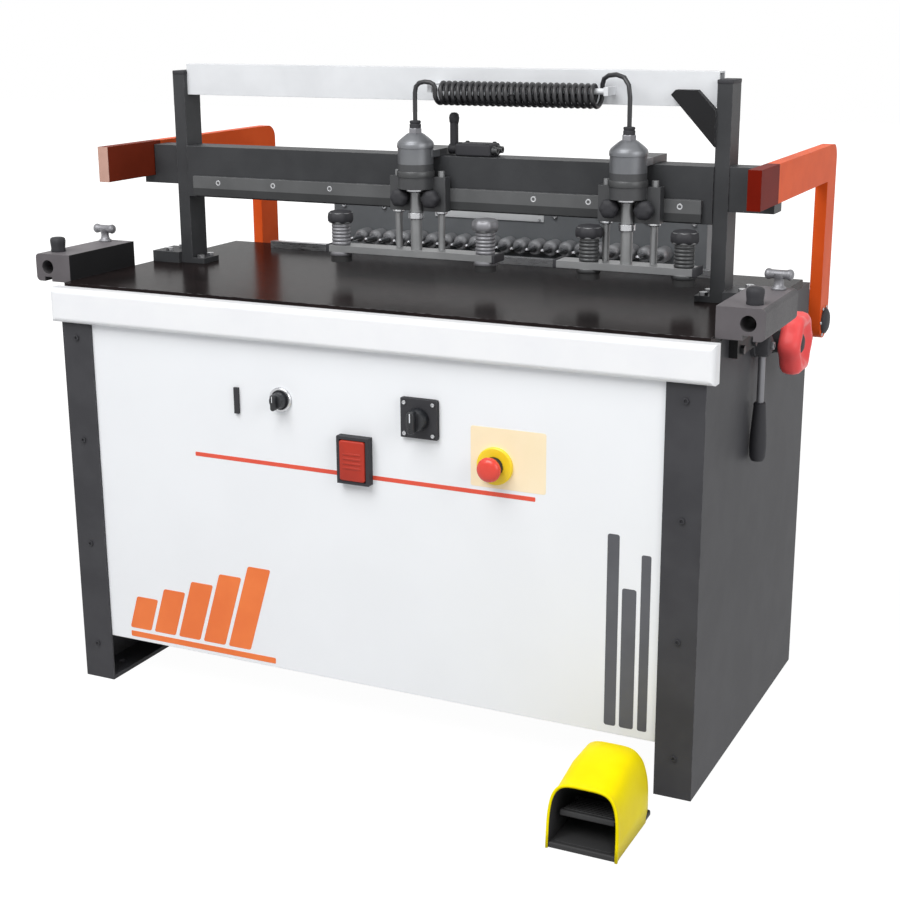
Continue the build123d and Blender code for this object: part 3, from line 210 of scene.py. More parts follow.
def turned(
    profile: Array, segments: int = 48, lobes: int = 0, depth: float = 0.0, twist: float = 0.0
) -> Surface:
    """Turns a profile about its own Z: x = r cos a, y = r sin a, z = h, with r shrunk between lobes.

    The radius is r (1 - depth (1 - cos(lobes a - twist h)) / 2), so no lobes give a plain lathe shape.

    Args:
        profile: the points (r, h), from one pole to the other.
        segments: the number of steps round the axis.
        lobes: the number of bulges round the axis.
        depth: the share of the radius lost between two bulges.
        twist: how fast the bulges wind about the axis, in radians a metre.

    Returns:
        The surface, closed where the profile meets the axis.
    """
    angle = np.linspace(0, 2 * math.pi, segments, endpoint=False)
    waist = 1 - depth * (1 - np.cos(lobes * angle[None, :] - twist * profile[:, 1:])) / 2
    radius = profile[:, :1] * waist
    height = np.repeat(profile[:, 1:], segments, axis=1)
    return grid(np.stack([radius * np.cos(angle), radius * np.sin(angle), height], axis=-1), True)


@dataclass(frozen=True)
class Lathe(Shape):
    """A turned shape: its profile's numbers in millimetres, and the rest as turned() takes it."""

    profile: Floats
    segments: int = 48
    lobes: int = 0
    depth: float = 0.0

    def surface(self) -> Surface:
        """Turns the profile."""
        return turned(mm(self.profile), self.segments, self.lobes, self.depth)


@dataclass(frozen=True)
class Block(Shape):
    """A box with rounded edges: its two corners, its edges' radius and the steps of each half edge."""

    low: Point
    high: Point
    edge: float
    steps: int = 2

    def surface(self) -> Surface:
        """Six grids, each pushed out by the edge radius from a smaller core box.

        A point is core + edge * unit(offset). The offset's sideways parts run as tan of 0 to 45 degrees.

        Returns:
            The closed surface.
        """
        low, high = np.array(self.low, float), np.array(self.high, float)
        centre, core = (low + high) / 2, np.maximum((high - low) / 2 - self.edge, 0)
        slope = np.tan(np.linspace(0, math.pi / 4, self.steps + 1))
        sign = np.repeat([-1.0, 1.0], self.steps + 1)
        offsets = np.meshgrid(*[np.concatenate([-slope[::-1], slope])] * 2, indexing="ij")
        signs = np.meshgrid(sign, sign, indexing="ij")
        faces = []
        for up, side in product(range(3), SIDES):
            level = np.full_like(offsets[0], side)
            out, inner = (np.stack([level, *pair], axis=-1) for pair in (offsets, signs))
            out = out / np.linalg.norm(out, axis=-1, keepdims=True)
            inner, out = np.roll(inner, up, axis=-1), np.roll(out, up, axis=-1)
            points = centre + inner * core + self.edge * out
            faces.append(grid(points if side > 0 else points[::-1]))
        return Surface.joined(faces)


@dataclass(frozen=True)
class Plate(Shape):
    """A plate between two heights: its sides, the radii of its corners and rims, and its lean."""

    width: float
    height: float
    corner: float
    low: float
    high: float
    rim: float
    steps: int = 2
    lean: float = 0.0
    CORNER_STEPS: ClassVar[int] = 4

    def outline(self) -> Array:
        """A closed rectangle with round corners, leaning over: x = corner x + r cos a + lean y.

        Returns:
            The points (x, y), counter-clockwise.
        """
        count = self.CORNER_STEPS + 1
        turn = np.linspace(0, math.pi / 2, count)
        angle = np.concatenate([turn + quarter * math.pi / 2 for quarter in range(4)])
        wide, tall = self.width / 2 - self.corner, self.height / 2 - self.corner
        x = np.repeat([1, -1, -1, 1], count) * wide + self.corner * np.cos(angle)
        y = np.repeat([1, 1, -1, -1], count) * tall + self.corner * np.sin(angle)
        return np.stack([x + self.lean * y, y], axis=-1)

    def surface(self) -> Surface:
        """Rings one above another, each the outline moved in along its normals by rim (1 - sin a).

        Returns:
            The closed surface.
        """
        outline = self.outline()
        tangent = np.roll(outline, -1, axis=0) - np.roll(outline, 1, axis=0)
        tangent /= np.linalg.norm(tangent, axis=1, keepdims=True)
        normal = np.stack([tangent[:, 1], -tangent[:, 0]], axis=-1)
        turn = np.linspace(0, math.pi / 2, self.steps + 1)
        rise, close = self.rim * (1 - np.cos(turn)), self.rim * (1 - np.sin(turn))
        flat = outline[None] - np.concatenate([close, rise])[:, None, None] * normal[None]
        middle = np.broadcast_to(outline.mean(axis=0), (1, *outline.shape))
        rings = np.concatenate([middle, flat, middle])
        levels = np.concatenate([[self.low], self.low + rise, self.high - close, [self.high]])
        tall = np.broadcast_to(levels[:, None, None], (*rings.shape[:2], 1))
        return grid(np.concatenate([rings, tall], axis=-1), True)


@dataclass(frozen=True)
class Screw(Shape):
    """A socket screw's head: a disc with its rims rounded and a hollow in the top."""

    radius: float
    height: float
    EDGE_SHARE: ClassVar[float] = 0.12
    HOLLOW_SHARE: ClassVar[float] = 0.56
    SEAT_SHARE: ClassVar[float] = 0.4

    def surface(self) -> Surface:
        """Turns two quarter circles, for the rims, and a step down into the hollow.

        Returns:
            The closed surface.
        """
        radius, height, edge = self.radius, self.height, self.EDGE_SHARE * self.radius
        turn = np.linspace(0, math.pi / 2, 3)
        out, up = edge * np.sin(turn), edge * np.cos(turn)
        lower = np.stack([radius - edge + out, edge - up], axis=-1)
        upper = np.stack([radius - edge + up, height - edge + out], axis=-1)
        lip, seat = self.HOLLOW_SHARE * radius, self.SEAT_SHARE * height
        hollow = [(lip, height), (lip, seat), (0, seat)]
        return turned(np.concatenate([[(0, 0)], lower, upper, hollow]), 24)


@dataclass(frozen=True)
class Group(Shape):
    """One shape, with its own Z turned to an axis, at every mix of some x, y and z."""

    shape: Shape
    axis: Axis
    x: Floats
    y: Floats
    z: Floats

    def surface(self) -> Surface:
        """Puts the shape at each place."""
        return Surface.joined(self.shape.copies(self.axis, product(self.x, self.y, self.z)))


@dataclass(frozen=True)
class Zone:
    """A part of a node's surface with its own look, in some finishes painted light or shade: where x, y
    and z lie between their bounds.
    """

    colour: int
    roughness: float
    metallic: float = 0.0
    x: Bounds = (None, None)
    y: Bounds = (None, None)
    z: Bounds = (None, None)


@dataclass(frozen=True)
class Finish:
    """A procedural finish: two mottled display colours, varying roughness, grain, soft and worn edges.

    The slot is the record's material slot for the pieces that have this finish; the pieces are not given
    it here.
    """

    name: str
    colour: int
    second: int
    roughness: Pair
    metallic: float = 0.0
    grain: float = 900.0
    stretch: Point = (1.0, 1.0, 1.0)
    mottle: float = 14.0
    bump: float = 0.12
    edge: float = 0.0012
    wear: int | None = None
    wear_share: float = 0.5
    coat: float = 0.0
    shine: float = 0.5
    slot: str = "bright_steel"
    zones: tuple[Zone, ...] = ()

    def material(self) -> bpy.types.Material:
        """Makes the finish's material once and hands out the same one after that."""
        found = bpy.data.materials.get(self.name)
        return found if found else FinishNodes(self).build()


class Nodes:
    """Adds nodes to a tree, and fills and links them."""

    def __init__(self, tree: bpy.types.NodeTree) -> None:
        """Keeps the tree."""
        self.tree = tree

    def fill(self, node: bpy.types.Node, **inputs: Any) -> bpy.types.Node:
        """Fills or links a node's inputs.

        Args:
            node: the node.
            inputs: values or sockets by input name, with _ for a space and i0, i1 for an input's number.

        Returns:
            The node.
        """
        for key, value in inputs.items():
            numbered = key[0] == "i" and key[1:].isdigit()
            socket = node.inputs[int(key[1:]) if numbered else key.replace("_", " ")]
            if isinstance(value, Socket):
                self.tree.links.new(value, socket)
            else:
                socket.default_value = value
        return node

    def node(self, kind: str, settings: dict[str, Any] | None = None, **inputs: Any) -> bpy.types.Node:
        """Adds a node.

        Args:
            kind: the node's Blender type, after ShaderNode.
            settings: its own properties.
            inputs: its inputs, as fill takes them.

        Returns:
            The node.
        """
        made = self.tree.nodes.new("ShaderNode" + kind)
        for key, value in (settings or {}).items():
            setattr(made, key, value)
        return self.fill(made, **inputs)

    def math(self, operation: str, first: Any, second: Any) -> Socket:
        """Adds a Math node and returns its value."""
        return self.node("Math", {"operation": operation}, i0=first, i1=second).outputs[0]

    def seen_ray(self) -> Socket:
        """Adds a value that is 1 on camera, glossy and transmission rays.

        Returns:
            The value.
        """
        path = self.node("LightPath").outputs
        shown = self.math("MAXIMUM", path["Is Camera Ray"], path["Is Glossy Ray"])
        return self.math("MAXIMUM", shown, path["Is Transmission Ray"])


class FinishNodes(Nodes):
    """Builds the node tree of one finish."""

    CLOUD = (0.36, 0.64)
    GRAIN = (0.3, 0.7)
    BUMP_DEPTH = 0.0004
    ZONE_SHADE = 0.82
    WORN_BEND = (0.02, 0.22)
    WORN_PATCH = (0.42, 0.62)
    PATCH_SCALE = 90.0

    def __init__(self, finish: Finish) -> None:
        """Starts an empty tree with its shader and its object coordinates.

        Args:
            finish: the finish.
        """
        self.finish = finish
        self.result = bpy.data.materials.new(finish.name)
        self.result.use_nodes = True
        super().__init__(self.result.node_tree)
        self.tree.nodes.clear()
        self.shader = self.node("BsdfPrincipled")
        self.node("OutputMaterial", Surface=self.shader.outputs["BSDF"])
        self.place = self.node("TexCoord").outputs["Object"]

    def noise(self, scale: float, detail: float = 3.0, stretch: Point = (1.0, 1.0, 1.0)) -> Socket:
        """Adds a noise over object coordinates, of some waves per metre and octaves, scaled by axis."""
        where = self.node("Mapping", Vector=self.place, Scale=stretch).outputs[0]
        return self.node("TexNoise", Vector=where, Scale=scale, Detail=detail).outputs[0]

    def ramp(self, value: Any, limits: Pair) -> Socket:
        """Maps the limits to 0 and 1 and clips what lies beyond."""
        return self.node("MapRange", Value=value, From_Min=limits[0], From_Max=limits[1]).outputs[0]

    def mix(self, share: Any, first: Any, second: Any) -> Socket:
        """Mixes two colours by a share."""
        pair = [value if isinstance(value, Socket) else (*value, 1.0) for value in (first, second)]
        return self.node("Mix", {"data_type": "RGBA"}, i0=share, i6=pair[0], i7=pair[1]).outputs[2]

    def zone_mask(self, zone: Zone) -> Any:
        """Adds the mask of a zone: 1 where every stated bound holds.

        Args:
            zone: the zone.

        Returns:
            The mask.
        """
        mask: Any = 1.0
        parts = self.node("SeparateXYZ", Vector=self.place).outputs
        for part, (low, high) in zip(parts, (zone.x, zone.y, zone.z)):
            for operation, bound in (("GREATER_THAN", low), ("LESS_THAN", high)):
                if bound is not None:
                    mask = self.math("MULTIPLY", self.math(operation, part, bound), mask)
        return mask

    def build(self) -> bpy.types.Material:
        """Links the whole finish.

        Returns:
            The material.
        """
        finish = self.finish
        cloud = self.ramp(self.noise(finish.mottle), self.CLOUD)
        grain = self.noise(finish.grain, 2.0, finish.stretch)
        colour = self.mix(cloud, srgb(finish.colour), srgb(finish.second))
        rough = self.node(
            "MapRange", Value=grain, From_Min=self.GRAIN[0], From_Max=self.GRAIN[1],
            To_Min=finish.roughness[0], To_Max=finish.roughness[1],
        ).outputs[0]
        metal: Any = finish.metallic
        for zone in finish.zones:
            mask = self.zone_mask(zone)
            shade = tuple(self.ZONE_SHADE * value for value in srgb(zone.colour))
            colour = self.mix(mask, colour, self.mix(cloud, srgb(zone.colour), shade))
            rough = self.node("Mix", i0=mask, i2=rough, i3=zone.roughness).outputs[0]
            if zone.metallic != finish.metallic:
                metal = self.node("Mix", i0=mask, i2=metal, i3=zone.metallic).outputs[0]
        soft = self.node("Bevel", {"samples": 6}, Radius=finish.edge).outputs[0]
        if finish.wear is not None:
            flat = self.node("NewGeometry").outputs["Normal"]
            bend = self.node("VectorMath", {"operation": "DOT_PRODUCT"}, i0=soft, i1=flat)
            edge = self.ramp(self.math("SUBTRACT", 1.0, bend.outputs["Value"]), self.WORN_BEND)
            patchy = self.ramp(self.noise(self.PATCH_SCALE), self.WORN_PATCH)
            worn = self.math("MULTIPLY", self.math("MULTIPLY", edge, patchy), finish.wear_share)
            colour = self.mix(worn, colour, srgb(finish.wear))
        bump = self.node(
            "Bump", Strength=finish.bump, Distance=self.BUMP_DEPTH, Height=grain, Normal=soft
        )
        self.fill(
            self.shader, Base_Color=colour, Roughness=rough, Normal=bump.outputs[0], Metallic=metal,
            Coat_Weight=finish.coat, Specular_IOR_Level=finish.shine,
        )
        return self.result


def ink(name: str, colour: int, second: int) -> Finish:
    """The finish of a print on the white panel."""
    return Finish(name, colour, second, (0.4, 0.5), bump=0.03, edge=0.0001, slot="white_paint")


BARE_STEEL = 0xB0B0B2
BLACK = 0x18181A
CABINET_GREY = Finish(
    "cabinet_grey", 0x434346, 0x3D3D40, (0.45, 0.6), grain=1400, shine=0.15, wear=BARE_STEEL,
    wear_share=0.35, slot="dark_paint",
)
BRIDGE_GREY = Finish(
    "bridge_grey", 0x3E3F41, 0x363739, (0.42, 0.57), grain=1400, shine=0.2, wear=BARE_STEEL,
    wear_share=0.4,
    zones=(Zone(BLACK, 0.5, x=(0.43, 0.5129), y=(None, -0.0152), z=(1.004, None)),),
)
BEAM_GREY = Finish(
    "beam_grey", 0x3C3D3F, 0x353638, (0.42, 0.57), grain=1400, shine=0.2, wear=BARE_STEEL, wear_share=0.4,
    zones=(
        # Lit and shaded copies on the beam's front strip: pale above z 0.902 as painted light, dark below
        # it as painted shade.
        Zone(0x626364, 0.46, 0.1, y=(None, -0.0283)),
        Zone(0x3E3F40, 0.46, 0.1, y=(None, -0.0283), z=(None, 0.902)),
    ),
)
PANEL_WHITE = Finish(
    "panel_white", 0xEEF0F3, 0xECEEF1, (0.34, 0.46), grain=1600, mottle=6, bump=0.06, slot="white_paint",
)
RAIL_WHITE = Finish(
    "rail_white", 0xEEEFF1, 0xEBECEF, (0.32, 0.44), grain=1600, bump=0.06, wear=0xBEBEBE, wear_share=0.3,
)
TOP_RAIL_PALE = Finish(
    "top_rail_pale", 0xDEE0E3, 0xD7D9DC, (0.3, 0.42), grain=1200, stretch=(0.05, 1.0, 1.0), bump=0.08,
)
TABLE_DARK = Finish(
    "table_dark", 0x221C1C, 0x1A1616, (0.17, 0.26), grain=700, shine=0.016, stretch=(0.08, 1.0, 1.0),
    bump=0.05, wear=BARE_STEEL, wear_share=0.6,
)
ARM_ORANGE = Finish(
    "arm_orange", 0xF0622A, 0xE75A24, (0.36, 0.48), grain=1500, shine=0.05, bump=0.06, wear=0x785442,
    wear_share=0.35,
    zones=(
        # Painted shade on the arms' front parts, deeper on the right arm, and a painted highlight on the
        # left arm's front end face.
        Zone(0x7A2E1C, 0.5, y=(None, 0.0)),
        Zone(0x701608, 0.5, x=(0.0, None), y=(None, 0.0)),
        Zone(0xC69E90, 0.5, y=(None, -0.1645)),
    ),
)
HEAD_GREY = Finish(
    "head_grey", 0x717477, 0x696C6F, (0.4, 0.54), shine=0.35, grain=1500, wear=BARE_STEEL,
    wear_share=0.35,
)
MOTOR_GREY = Finish("motor_grey", 0x62686E, 0x585E64, (0.42, 0.56), grain=1500, slot="motor_paint")
BLACK_IRON = Finish(
    "black_iron", 0x28282A, 0x1F1F21, (0.46, 0.62), metallic=0.3, grain=600, bump=0.25, wear=0x8C8C8C,
    wear_share=0.4,
)
BRACKET_GREY = Finish(
    "bracket_grey", 0x4C4A4C, 0x424042, (0.46, 0.62), grain=600, shine=0.3, bump=0.2, wear=0x8C8C8C,
    wear_share=0.3,
    zones=(
        # Painted light and shade on the end brackets: the top face and the front face are lighter as lit
        # faces, and the part below z 0.7519 is black as painted shade; the inner face of the left bracket
        # and everything above z 0.8022 are black too.
        Zone(0x6C686B, 0.55, z=(0.8016, None)),
        Zone(0x605C5F, 0.55, y=(None, -0.2846)),
        Zone(BLACK, 0.55, x=(-0.6004, 0.0)),
        Zone(BLACK, 0.55, z=(None, 0.7519)),
        Zone(BLACK, 0.5, z=(0.8022, None)),
    ),
)
SATIN_STEEL = Finish("satin_steel", 0x8A8A8E, 0x7E7E82, (0.4, 0.54), metallic=0.5, bump=0.08, edge=0.0005)
DARK_STEEL = Finish("dark_steel", 0x4A4B4C, 0x3E3F40, (0.36, 0.5), metallic=0.4, bump=0.08, edge=0.0005)
STEEL = Finish(
    "ground_steel", 0xC4C5C7, 0xB2B3B6, (0.2, 0.36), metallic=1.0, stretch=(1.0, 0.06, 1.0), bump=0.06,
    edge=0.0005,
)
BOLT_STEEL = Finish(
    "bolt_steel", 0xBEBFC1, 0xACADB0, (0.26, 0.4), metallic=1.0, bump=0.06, edge=0.0005,
    zones=(
        Zone(0x323234, 0.45, 0.4, x=(0.6, None)),
        Zone(0x323234, 0.45, 0.4, x=(None, -0.6)),
    ),
)
STEEL_X = Finish(
    "ground_steel_long", 0xBCBDBF, 0xAAABAE, (0.22, 0.38), metallic=1.0, stretch=(0.05, 1.0, 1.0),
    bump=0.06, edge=0.0006,
)
ALLOY = Finish(
    "anodised_alloy", 0x7C7E81, 0x707276, (0.34, 0.46), metallic=0.6, grain=1000, stretch=(1.0, 1.0, 0.1),
    bump=0.06, edge=0.0008, slot="cylinder_alloy",
)
CLAMP = Finish(
    "clamp_carriage", 0x747679, 0x686A6E, (0.34, 0.46), metallic=0.55, grain=1000,
    stretch=(1.0, 1.0, 0.1), bump=0.06, edge=0.0008, wear=BARE_STEEL, wear_share=0.3,
    zones=(
        Zone(0x3E3F41, 0.46, z=(None, 0.968)),
        Zone(0x3E3F41, 0.46, y=(-0.0312, None)),
    ),
)
PALE_ALLOY = Finish(
    "pale_alloy", 0xD8DADC, 0xCDCFD1, (0.34, 0.46), grain=1000, stretch=(0.05, 1.0, 1.0), bump=0.06,
    edge=0.0005,
)
TWIST_STEEL = Finish(
    "twist_steel", 0x8A8B8E, 0x7E7F82, (0.38, 0.52), metallic=0.35, grain=1400, bump=0.08, edge=0.0004,
    zones=(Zone(0x96979A, 0.3, 1.0, y=(None, 0.2915)),),
)
PRINT_RED = ink("print_red", 0xE2543C, 0xDA4C36)
PRINT_YELLOW = ink("print_yellow", 0xFAE8C6, 0xF7E4BE)
PRINT_ORANGE = ink("print_orange", 0xEE7A38, 0xE87232)
PRINT_GREY = ink("print_grey", 0x56575C, 0x4E4F54)
SIGNAL_YELLOW = Finish(
    "signal_yellow", 0xF6D628, 0xF0CD22, (0.34, 0.46), bump=0.08, slot="yellow_plastic",
)
BLACK_PLASTIC = Finish(
    "black_plastic", 0x1E1E20, 0x18181A, (0.4, 0.55), grain=1800, bump=0.18, edge=0.0008,
    slot="black_plastic",
)
DIAL_BLACK = Finish(
    "dial_black", 0x1B1D21, 0x15161A, (0.3, 0.44), grain=1800, bump=0.1, edge=0.0008,
    slot="black_plastic",
)
RED_PLASTIC = Finish(
    "red_plastic", 0xD63426, 0xCA2C20, (0.26, 0.38), grain=1800, bump=0.08, coat=0.2, edge=0.001,
    slot="red_plastic",
)
STOP_RED = Finish(
    "stop_red", 0xB03424, 0xA42D1F, (0.3, 0.42), grain=1800, bump=0.08, shine=0.3, edge=0.001,
    slot="red_plastic",
)
HANDWHEEL_RED = Finish(
    "handwheel_red", 0xFE6262, 0xF85858, (0.3, 0.42), grain=1500, bump=0.08, shine=0.2, edge=0.0015,
    slot="red_plastic",
)
PEDAL_YELLOW = Finish(
    "pedal_yellow", 0xFBE706, 0xF5DF05, (0.36, 0.48), grain=1600, bump=0.1, shine=0.06, edge=0.0015,
    slot="yellow_plastic",
)
RUBBER = Finish(
    "black_rubber", 0x222223, 0x1C1C1D, (0.6, 0.75), grain=1300, bump=0.3, edge=0.0008,
    slot="black_plastic",
)
HOSE_BLACK = Finish("hose_black", 0x262629, 0x1F1F22, (0.3, 0.42), grain=700, bump=0.05, edge=0.0002)
BRASS = Finish("brass", 0xC4A05C, 0xB4904E, (0.24, 0.36), metallic=1.0, bump=0.05, edge=0.0004)
RAM_STEEL = Finish(
    "ram_steel", 0x8C8D8E, 0x808182, (0.34, 0.48), metallic=0.5, stretch=(1.0, 1.0, 0.06), bump=0.06,
    edge=0.0006,
    zones=(Zone(0x222223, 0.65, z=(None, 0.8059)),),
)


@dataclass(frozen=True)
class Lamp:
    """A square soft lamp: its name, place, side and power in watts."""

    name: str
    at: Point
    size: float
    power: float


@dataclass
class Studio:
    """The camera, the lamps, the pale floor and the white surroundings."""

    eye: Point = (1.2614, -2.5738, 1.2441)
    azimuth: float = 25.71
    elevation: float = 15.76
    roll: float = -0.33
    lens: float = 64.02
    sensor: float = 36.0
    clip_end: float = 100.0
    lamps: tuple[Lamp, ...] = (
        Lamp("main", (-0.5, -2.6, 3.9), 3.0, 150.0),
        Lamp("fill", (-1.6, -3.2, 3.4), 2.6, 16.0),
        Lamp("side", (3.6, -1.6, 2.2), 2.2, 52.0),
    )
    lamps_aim: Point = (0, 0, 0.6)
    even_light: float = 0.39
    floor_half: float = 14.0
    floor_clear: float = 1.5
    floor_far: float = 3.2
    floor_glow: float = 0.8
    floor_white: float = 1.22
    floor_colour: int = 0xB6B7B8

    def camera(self) -> None:
        """Sets the camera: rolled, raised from the level and swung round from the front."""
        azimuth, elevation, roll = (math.radians(a) for a in (self.azimuth, self.elevation, self.roll))
        data = bpy.data.cameras.new("camera")
        data.lens = self.lens
        data.sensor_width = self.sensor
        data.clip_end = self.clip_end
        made = linked("camera", data)
        made.matrix_world = (
            Matrix.Translation(self.eye)
            @ Matrix.Rotation(azimuth, 4, "Z")
            @ Matrix.Rotation(math.pi / 2 - elevation, 4, "X")
            @ Matrix.Rotation(roll, 4, "Z")
        )
        bpy.context.scene.camera = made

    def light(self) -> None:
        """Adds the lamps, all turned to the same point."""
        for lamp in self.lamps:
            data = bpy.data.lights.new(lamp.name, "AREA")
            data.size = lamp.size
            data.energy = lamp.power
            made = linked(lamp.name, data)
            made.location = lamp.at
            way = Vector(self.lamps_aim) - Vector(lamp.at)
            made.rotation_euler = way.to_track_quat("-Z", "Y").to_euler()

    def world(self) -> None:
        """Sets a world that is seen as white and gives an even light of its own strength."""
        world = bpy.data.worlds.new("studio")
        bpy.context.scene.world = world
        world.use_nodes = True
        nodes = Nodes(world.node_tree)
        strength = nodes.node("MapRange", Value=nodes.seen_ray(), To_Min=self.even_light, To_Max=1.0)
        shade = world.node_tree.nodes["Background"]
        nodes.fill(shade, Color=(1, 1, 1, 1), Strength=strength.outputs[0])

    def floor(self) -> None:
        """Lays a pale floor that keeps the shadow near the machine and runs to white further off."""
        span = np.linspace(-self.floor_half, self.floor_half, 29)
        x, y = np.meshgrid(span, span, indexing="ij")
        mesh = grid(np.stack([x, y, np.zeros_like(x)], axis=-1)).mesh("floor")
        linked("floor", mesh)
        material = bpy.data.materials.new("pale_floor")
        material.use_nodes = True
        found = material.node_tree.nodes
        nodes = Nodes(material.node_tree)
        colour = (*srgb(self.floor_colour), 1)
        pale = nodes.fill(
            found["Principled BSDF"], Base_Color=colour, Roughness=0.9, Specular_IOR_Level=0.1
        )
        white = nodes.node("Emission", Strength=self.floor_white)
        place = nodes.node("TexCoord").outputs["Object"]
        reach = nodes.node("VectorMath", {"operation": "LENGTH"}, i0=place).outputs["Value"]
        share = nodes.node(
            "MapRange", {"interpolation_type": "SMOOTHSTEP"}, Value=reach,
            From_Min=self.floor_clear, From_Max=self.floor_far, To_Min=self.floor_glow,
        )
        seen = nodes.math("MULTIPLY", share.outputs[0], nodes.seen_ray())
        both = nodes.node("MixShader", i0=seen, i1=pale.outputs[0], i2=white.outputs[0])
        nodes.fill(found["Material Output"], Surface=both.outputs[0])
        mesh.materials.append(material)

    def build(self) -> None:
        """Sets the camera, the lamps, the world and the floor."""
        self.camera()
        self.light()
        self.world()
        self.floor()
        bpy.context.scene.view_settings.view_transform = "Standard"
        log.info("built the studio")


@dataclass
class CoiledHose:
    """The coiled air hose between the two clamps, in two halves."""

    radius: float = 0.004
    coil_radius: float = 0.017
    pitch: float = 0.011
    turns: float = 26.5
    start_x: float = 0.027
    axis_y: float = -0.045
    axis_z: float = 1.088
    left_port: Point = (-0.011, -0.062, 1.040)
    right_port: Point = (0.379, -0.062, 1.040)
    left_loop_top: float = 1.107
    right_loop_top: float = 1.123
    points_per_turn: int = 12
    split_turn: float = 13.0
    spline_shrink: float = 0.966
    left_length: float = 1.51
    right_length: float = 1.61

    def helix(self, first: float, last: float) -> Array:
        """The coil's control points: a circle about the coil's axis that moves a pitch along X each turn.

        Args:
            first, last: the turns between which the points lie.

        Returns:
            The points.
        """
        turn = np.linspace(first, last, round((last - first) * self.points_per_turn) + 1)
        angle = math.pi + 2 * math.pi * turn
        reach = self.coil_radius / self.spline_shrink
        y, z = self.axis_y + reach * np.cos(angle), self.axis_z + reach * np.sin(angle)
        return np.stack([self.start_x + self.pitch * turn, y, z], axis=-1)

    def mesh_along(self, name: str, route: Array, bevel: float) -> bpy.types.Mesh:
        """Makes the mesh of a smooth open curve and removes the curve itself.

        Args:
            name: the mesh's name.
            route: the curve's control points.
            bevel: the tube's radius, or 0 for a bare line.

        Returns:
            The mesh.
        """
        data = bpy.data.curves.new(name + "_line", "CURVE")
        data.dimensions = "3D"
        data.resolution_u = 3
        data.bevel_depth = bevel
        data.bevel_resolution = 3
        data.use_fill_caps = True
        spline = data.splines.new("NURBS")
        spline.points.add(len(route) - 1)
        spline.points.foreach_set("co", np.column_stack([route, np.ones(len(route))]).ravel())
        spline.order_u = 3
        spline.use_endpoint_u = True
        curve = linked(name + "_line", data)
        ready = curve.evaluated_get(bpy.context.evaluated_depsgraph_get())
        mesh = bpy.data.meshes.new_from_object(ready)
        mesh.name = name
        bpy.data.objects.remove(curve)
        return mesh

    def half(
        self, side: str, port: Point, top: float, corner: Pair, coil: Array, length: float
    ) -> None:
        """Makes one half of the hose, which stretches from its clamp to the middle of the coil.

        Args:
            side: the clamp's side, left or right.
            port: where the half leaves the clamp, straight up.
            top: the height of its loop.
            corner: the x and y where the loop meets the coil.
            coil: the coil's control points.
            length: the half's real length; not used.
        """
        name = f"air_hose_{side}"
        x, y, _ = port
        loop = [port, (x, y, 2 * self.axis_z - top), (x, y, top), (*corner, top)]
        route = np.concatenate([np.array(loop), coil])
        line = self.mesh_along(name + "_path", route, 0.0)
        path = np.zeros(len(line.vertices) * 3)
        line.vertices.foreach_get("co", path)
        bpy.data.meshes.remove(line)
        mesh = self.mesh_along(name, route, self.radius)
        mesh.materials.clear()
        mesh.materials.append(HOSE_BLACK.material())
        mesh.shade_smooth()
        made = linked(name, mesh)
        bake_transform(made)
        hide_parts("air_hose")
        log.info("built %s", name)

    def build(self) -> None:
        """Makes both halves."""
        coil = self.helix(0.0, self.split_turn)
        corner = (self.start_x, self.left_port[1])
        self.half("left", self.left_port, self.left_loop_top, corner, coil, self.left_length)
        coil = self.helix(self.split_turn, self.turns)[::-1]
        corner = (self.start_x + self.pitch * self.turns, self.axis_y + self.coil_radius)
        self.half("right", self.right_port, self.right_loop_top, corner, coil, self.right_length)


class SubAssembly(ABC):
    """A part of the machine, which makes its own pieces."""

    body: ClassVar[str] = "frame"

    @abstractmethod
    def build(self) -> None:
        """Makes every piece."""

    def piece(
        self,
        name: str,
        parts: Shape | Iterable[Shape],
        finish: Finish,
        shading: Shading = Shading.EDGED,
        body: str | None = None,
        replaces: str | None = None,
        slot: str | None = None,
    ) -> bpy.types.Object:
        """Makes a mesh with a finish and rides it on a body.

        Args:
            name: the piece's name.
            parts: its shape, or the shapes that it is joined from.
            finish: its finish.
            shading: how its faces meet.
            body: the CAD body that it moves with, where it isn't the sub-assembly's own.
            replaces: the CAD node that it stands for.
            slot: the record's material slot, where it isn't the finish's own; not used.

        Returns:
            The object.
        """
        body = body or self.body
        mesh = Surface.joined([parts] if isinstance(parts, Shape) else parts).mesh(name)
        shell = bmesh.new()
        shell.from_mesh(mesh)
        bmesh.ops.remove_doubles(shell, verts=shell.verts, dist=WELD)
        bmesh.ops.dissolve_degenerate(shell, edges=shell.edges, dist=SLIVER)
        bmesh.ops.recalc_face_normals(shell, faces=shell.faces)
        shell.to_mesh(mesh)
        shell.free()
        mesh.shade_smooth()
        mesh.set_sharp_from_angle(angle=math.radians(shading.value))
        mesh.materials.append(finish.material())
        made = linked(name, mesh)
        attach(made, body)
        if replaces:
            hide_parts(replaces)
        log.info("built %s on %s", name, body)
        return made


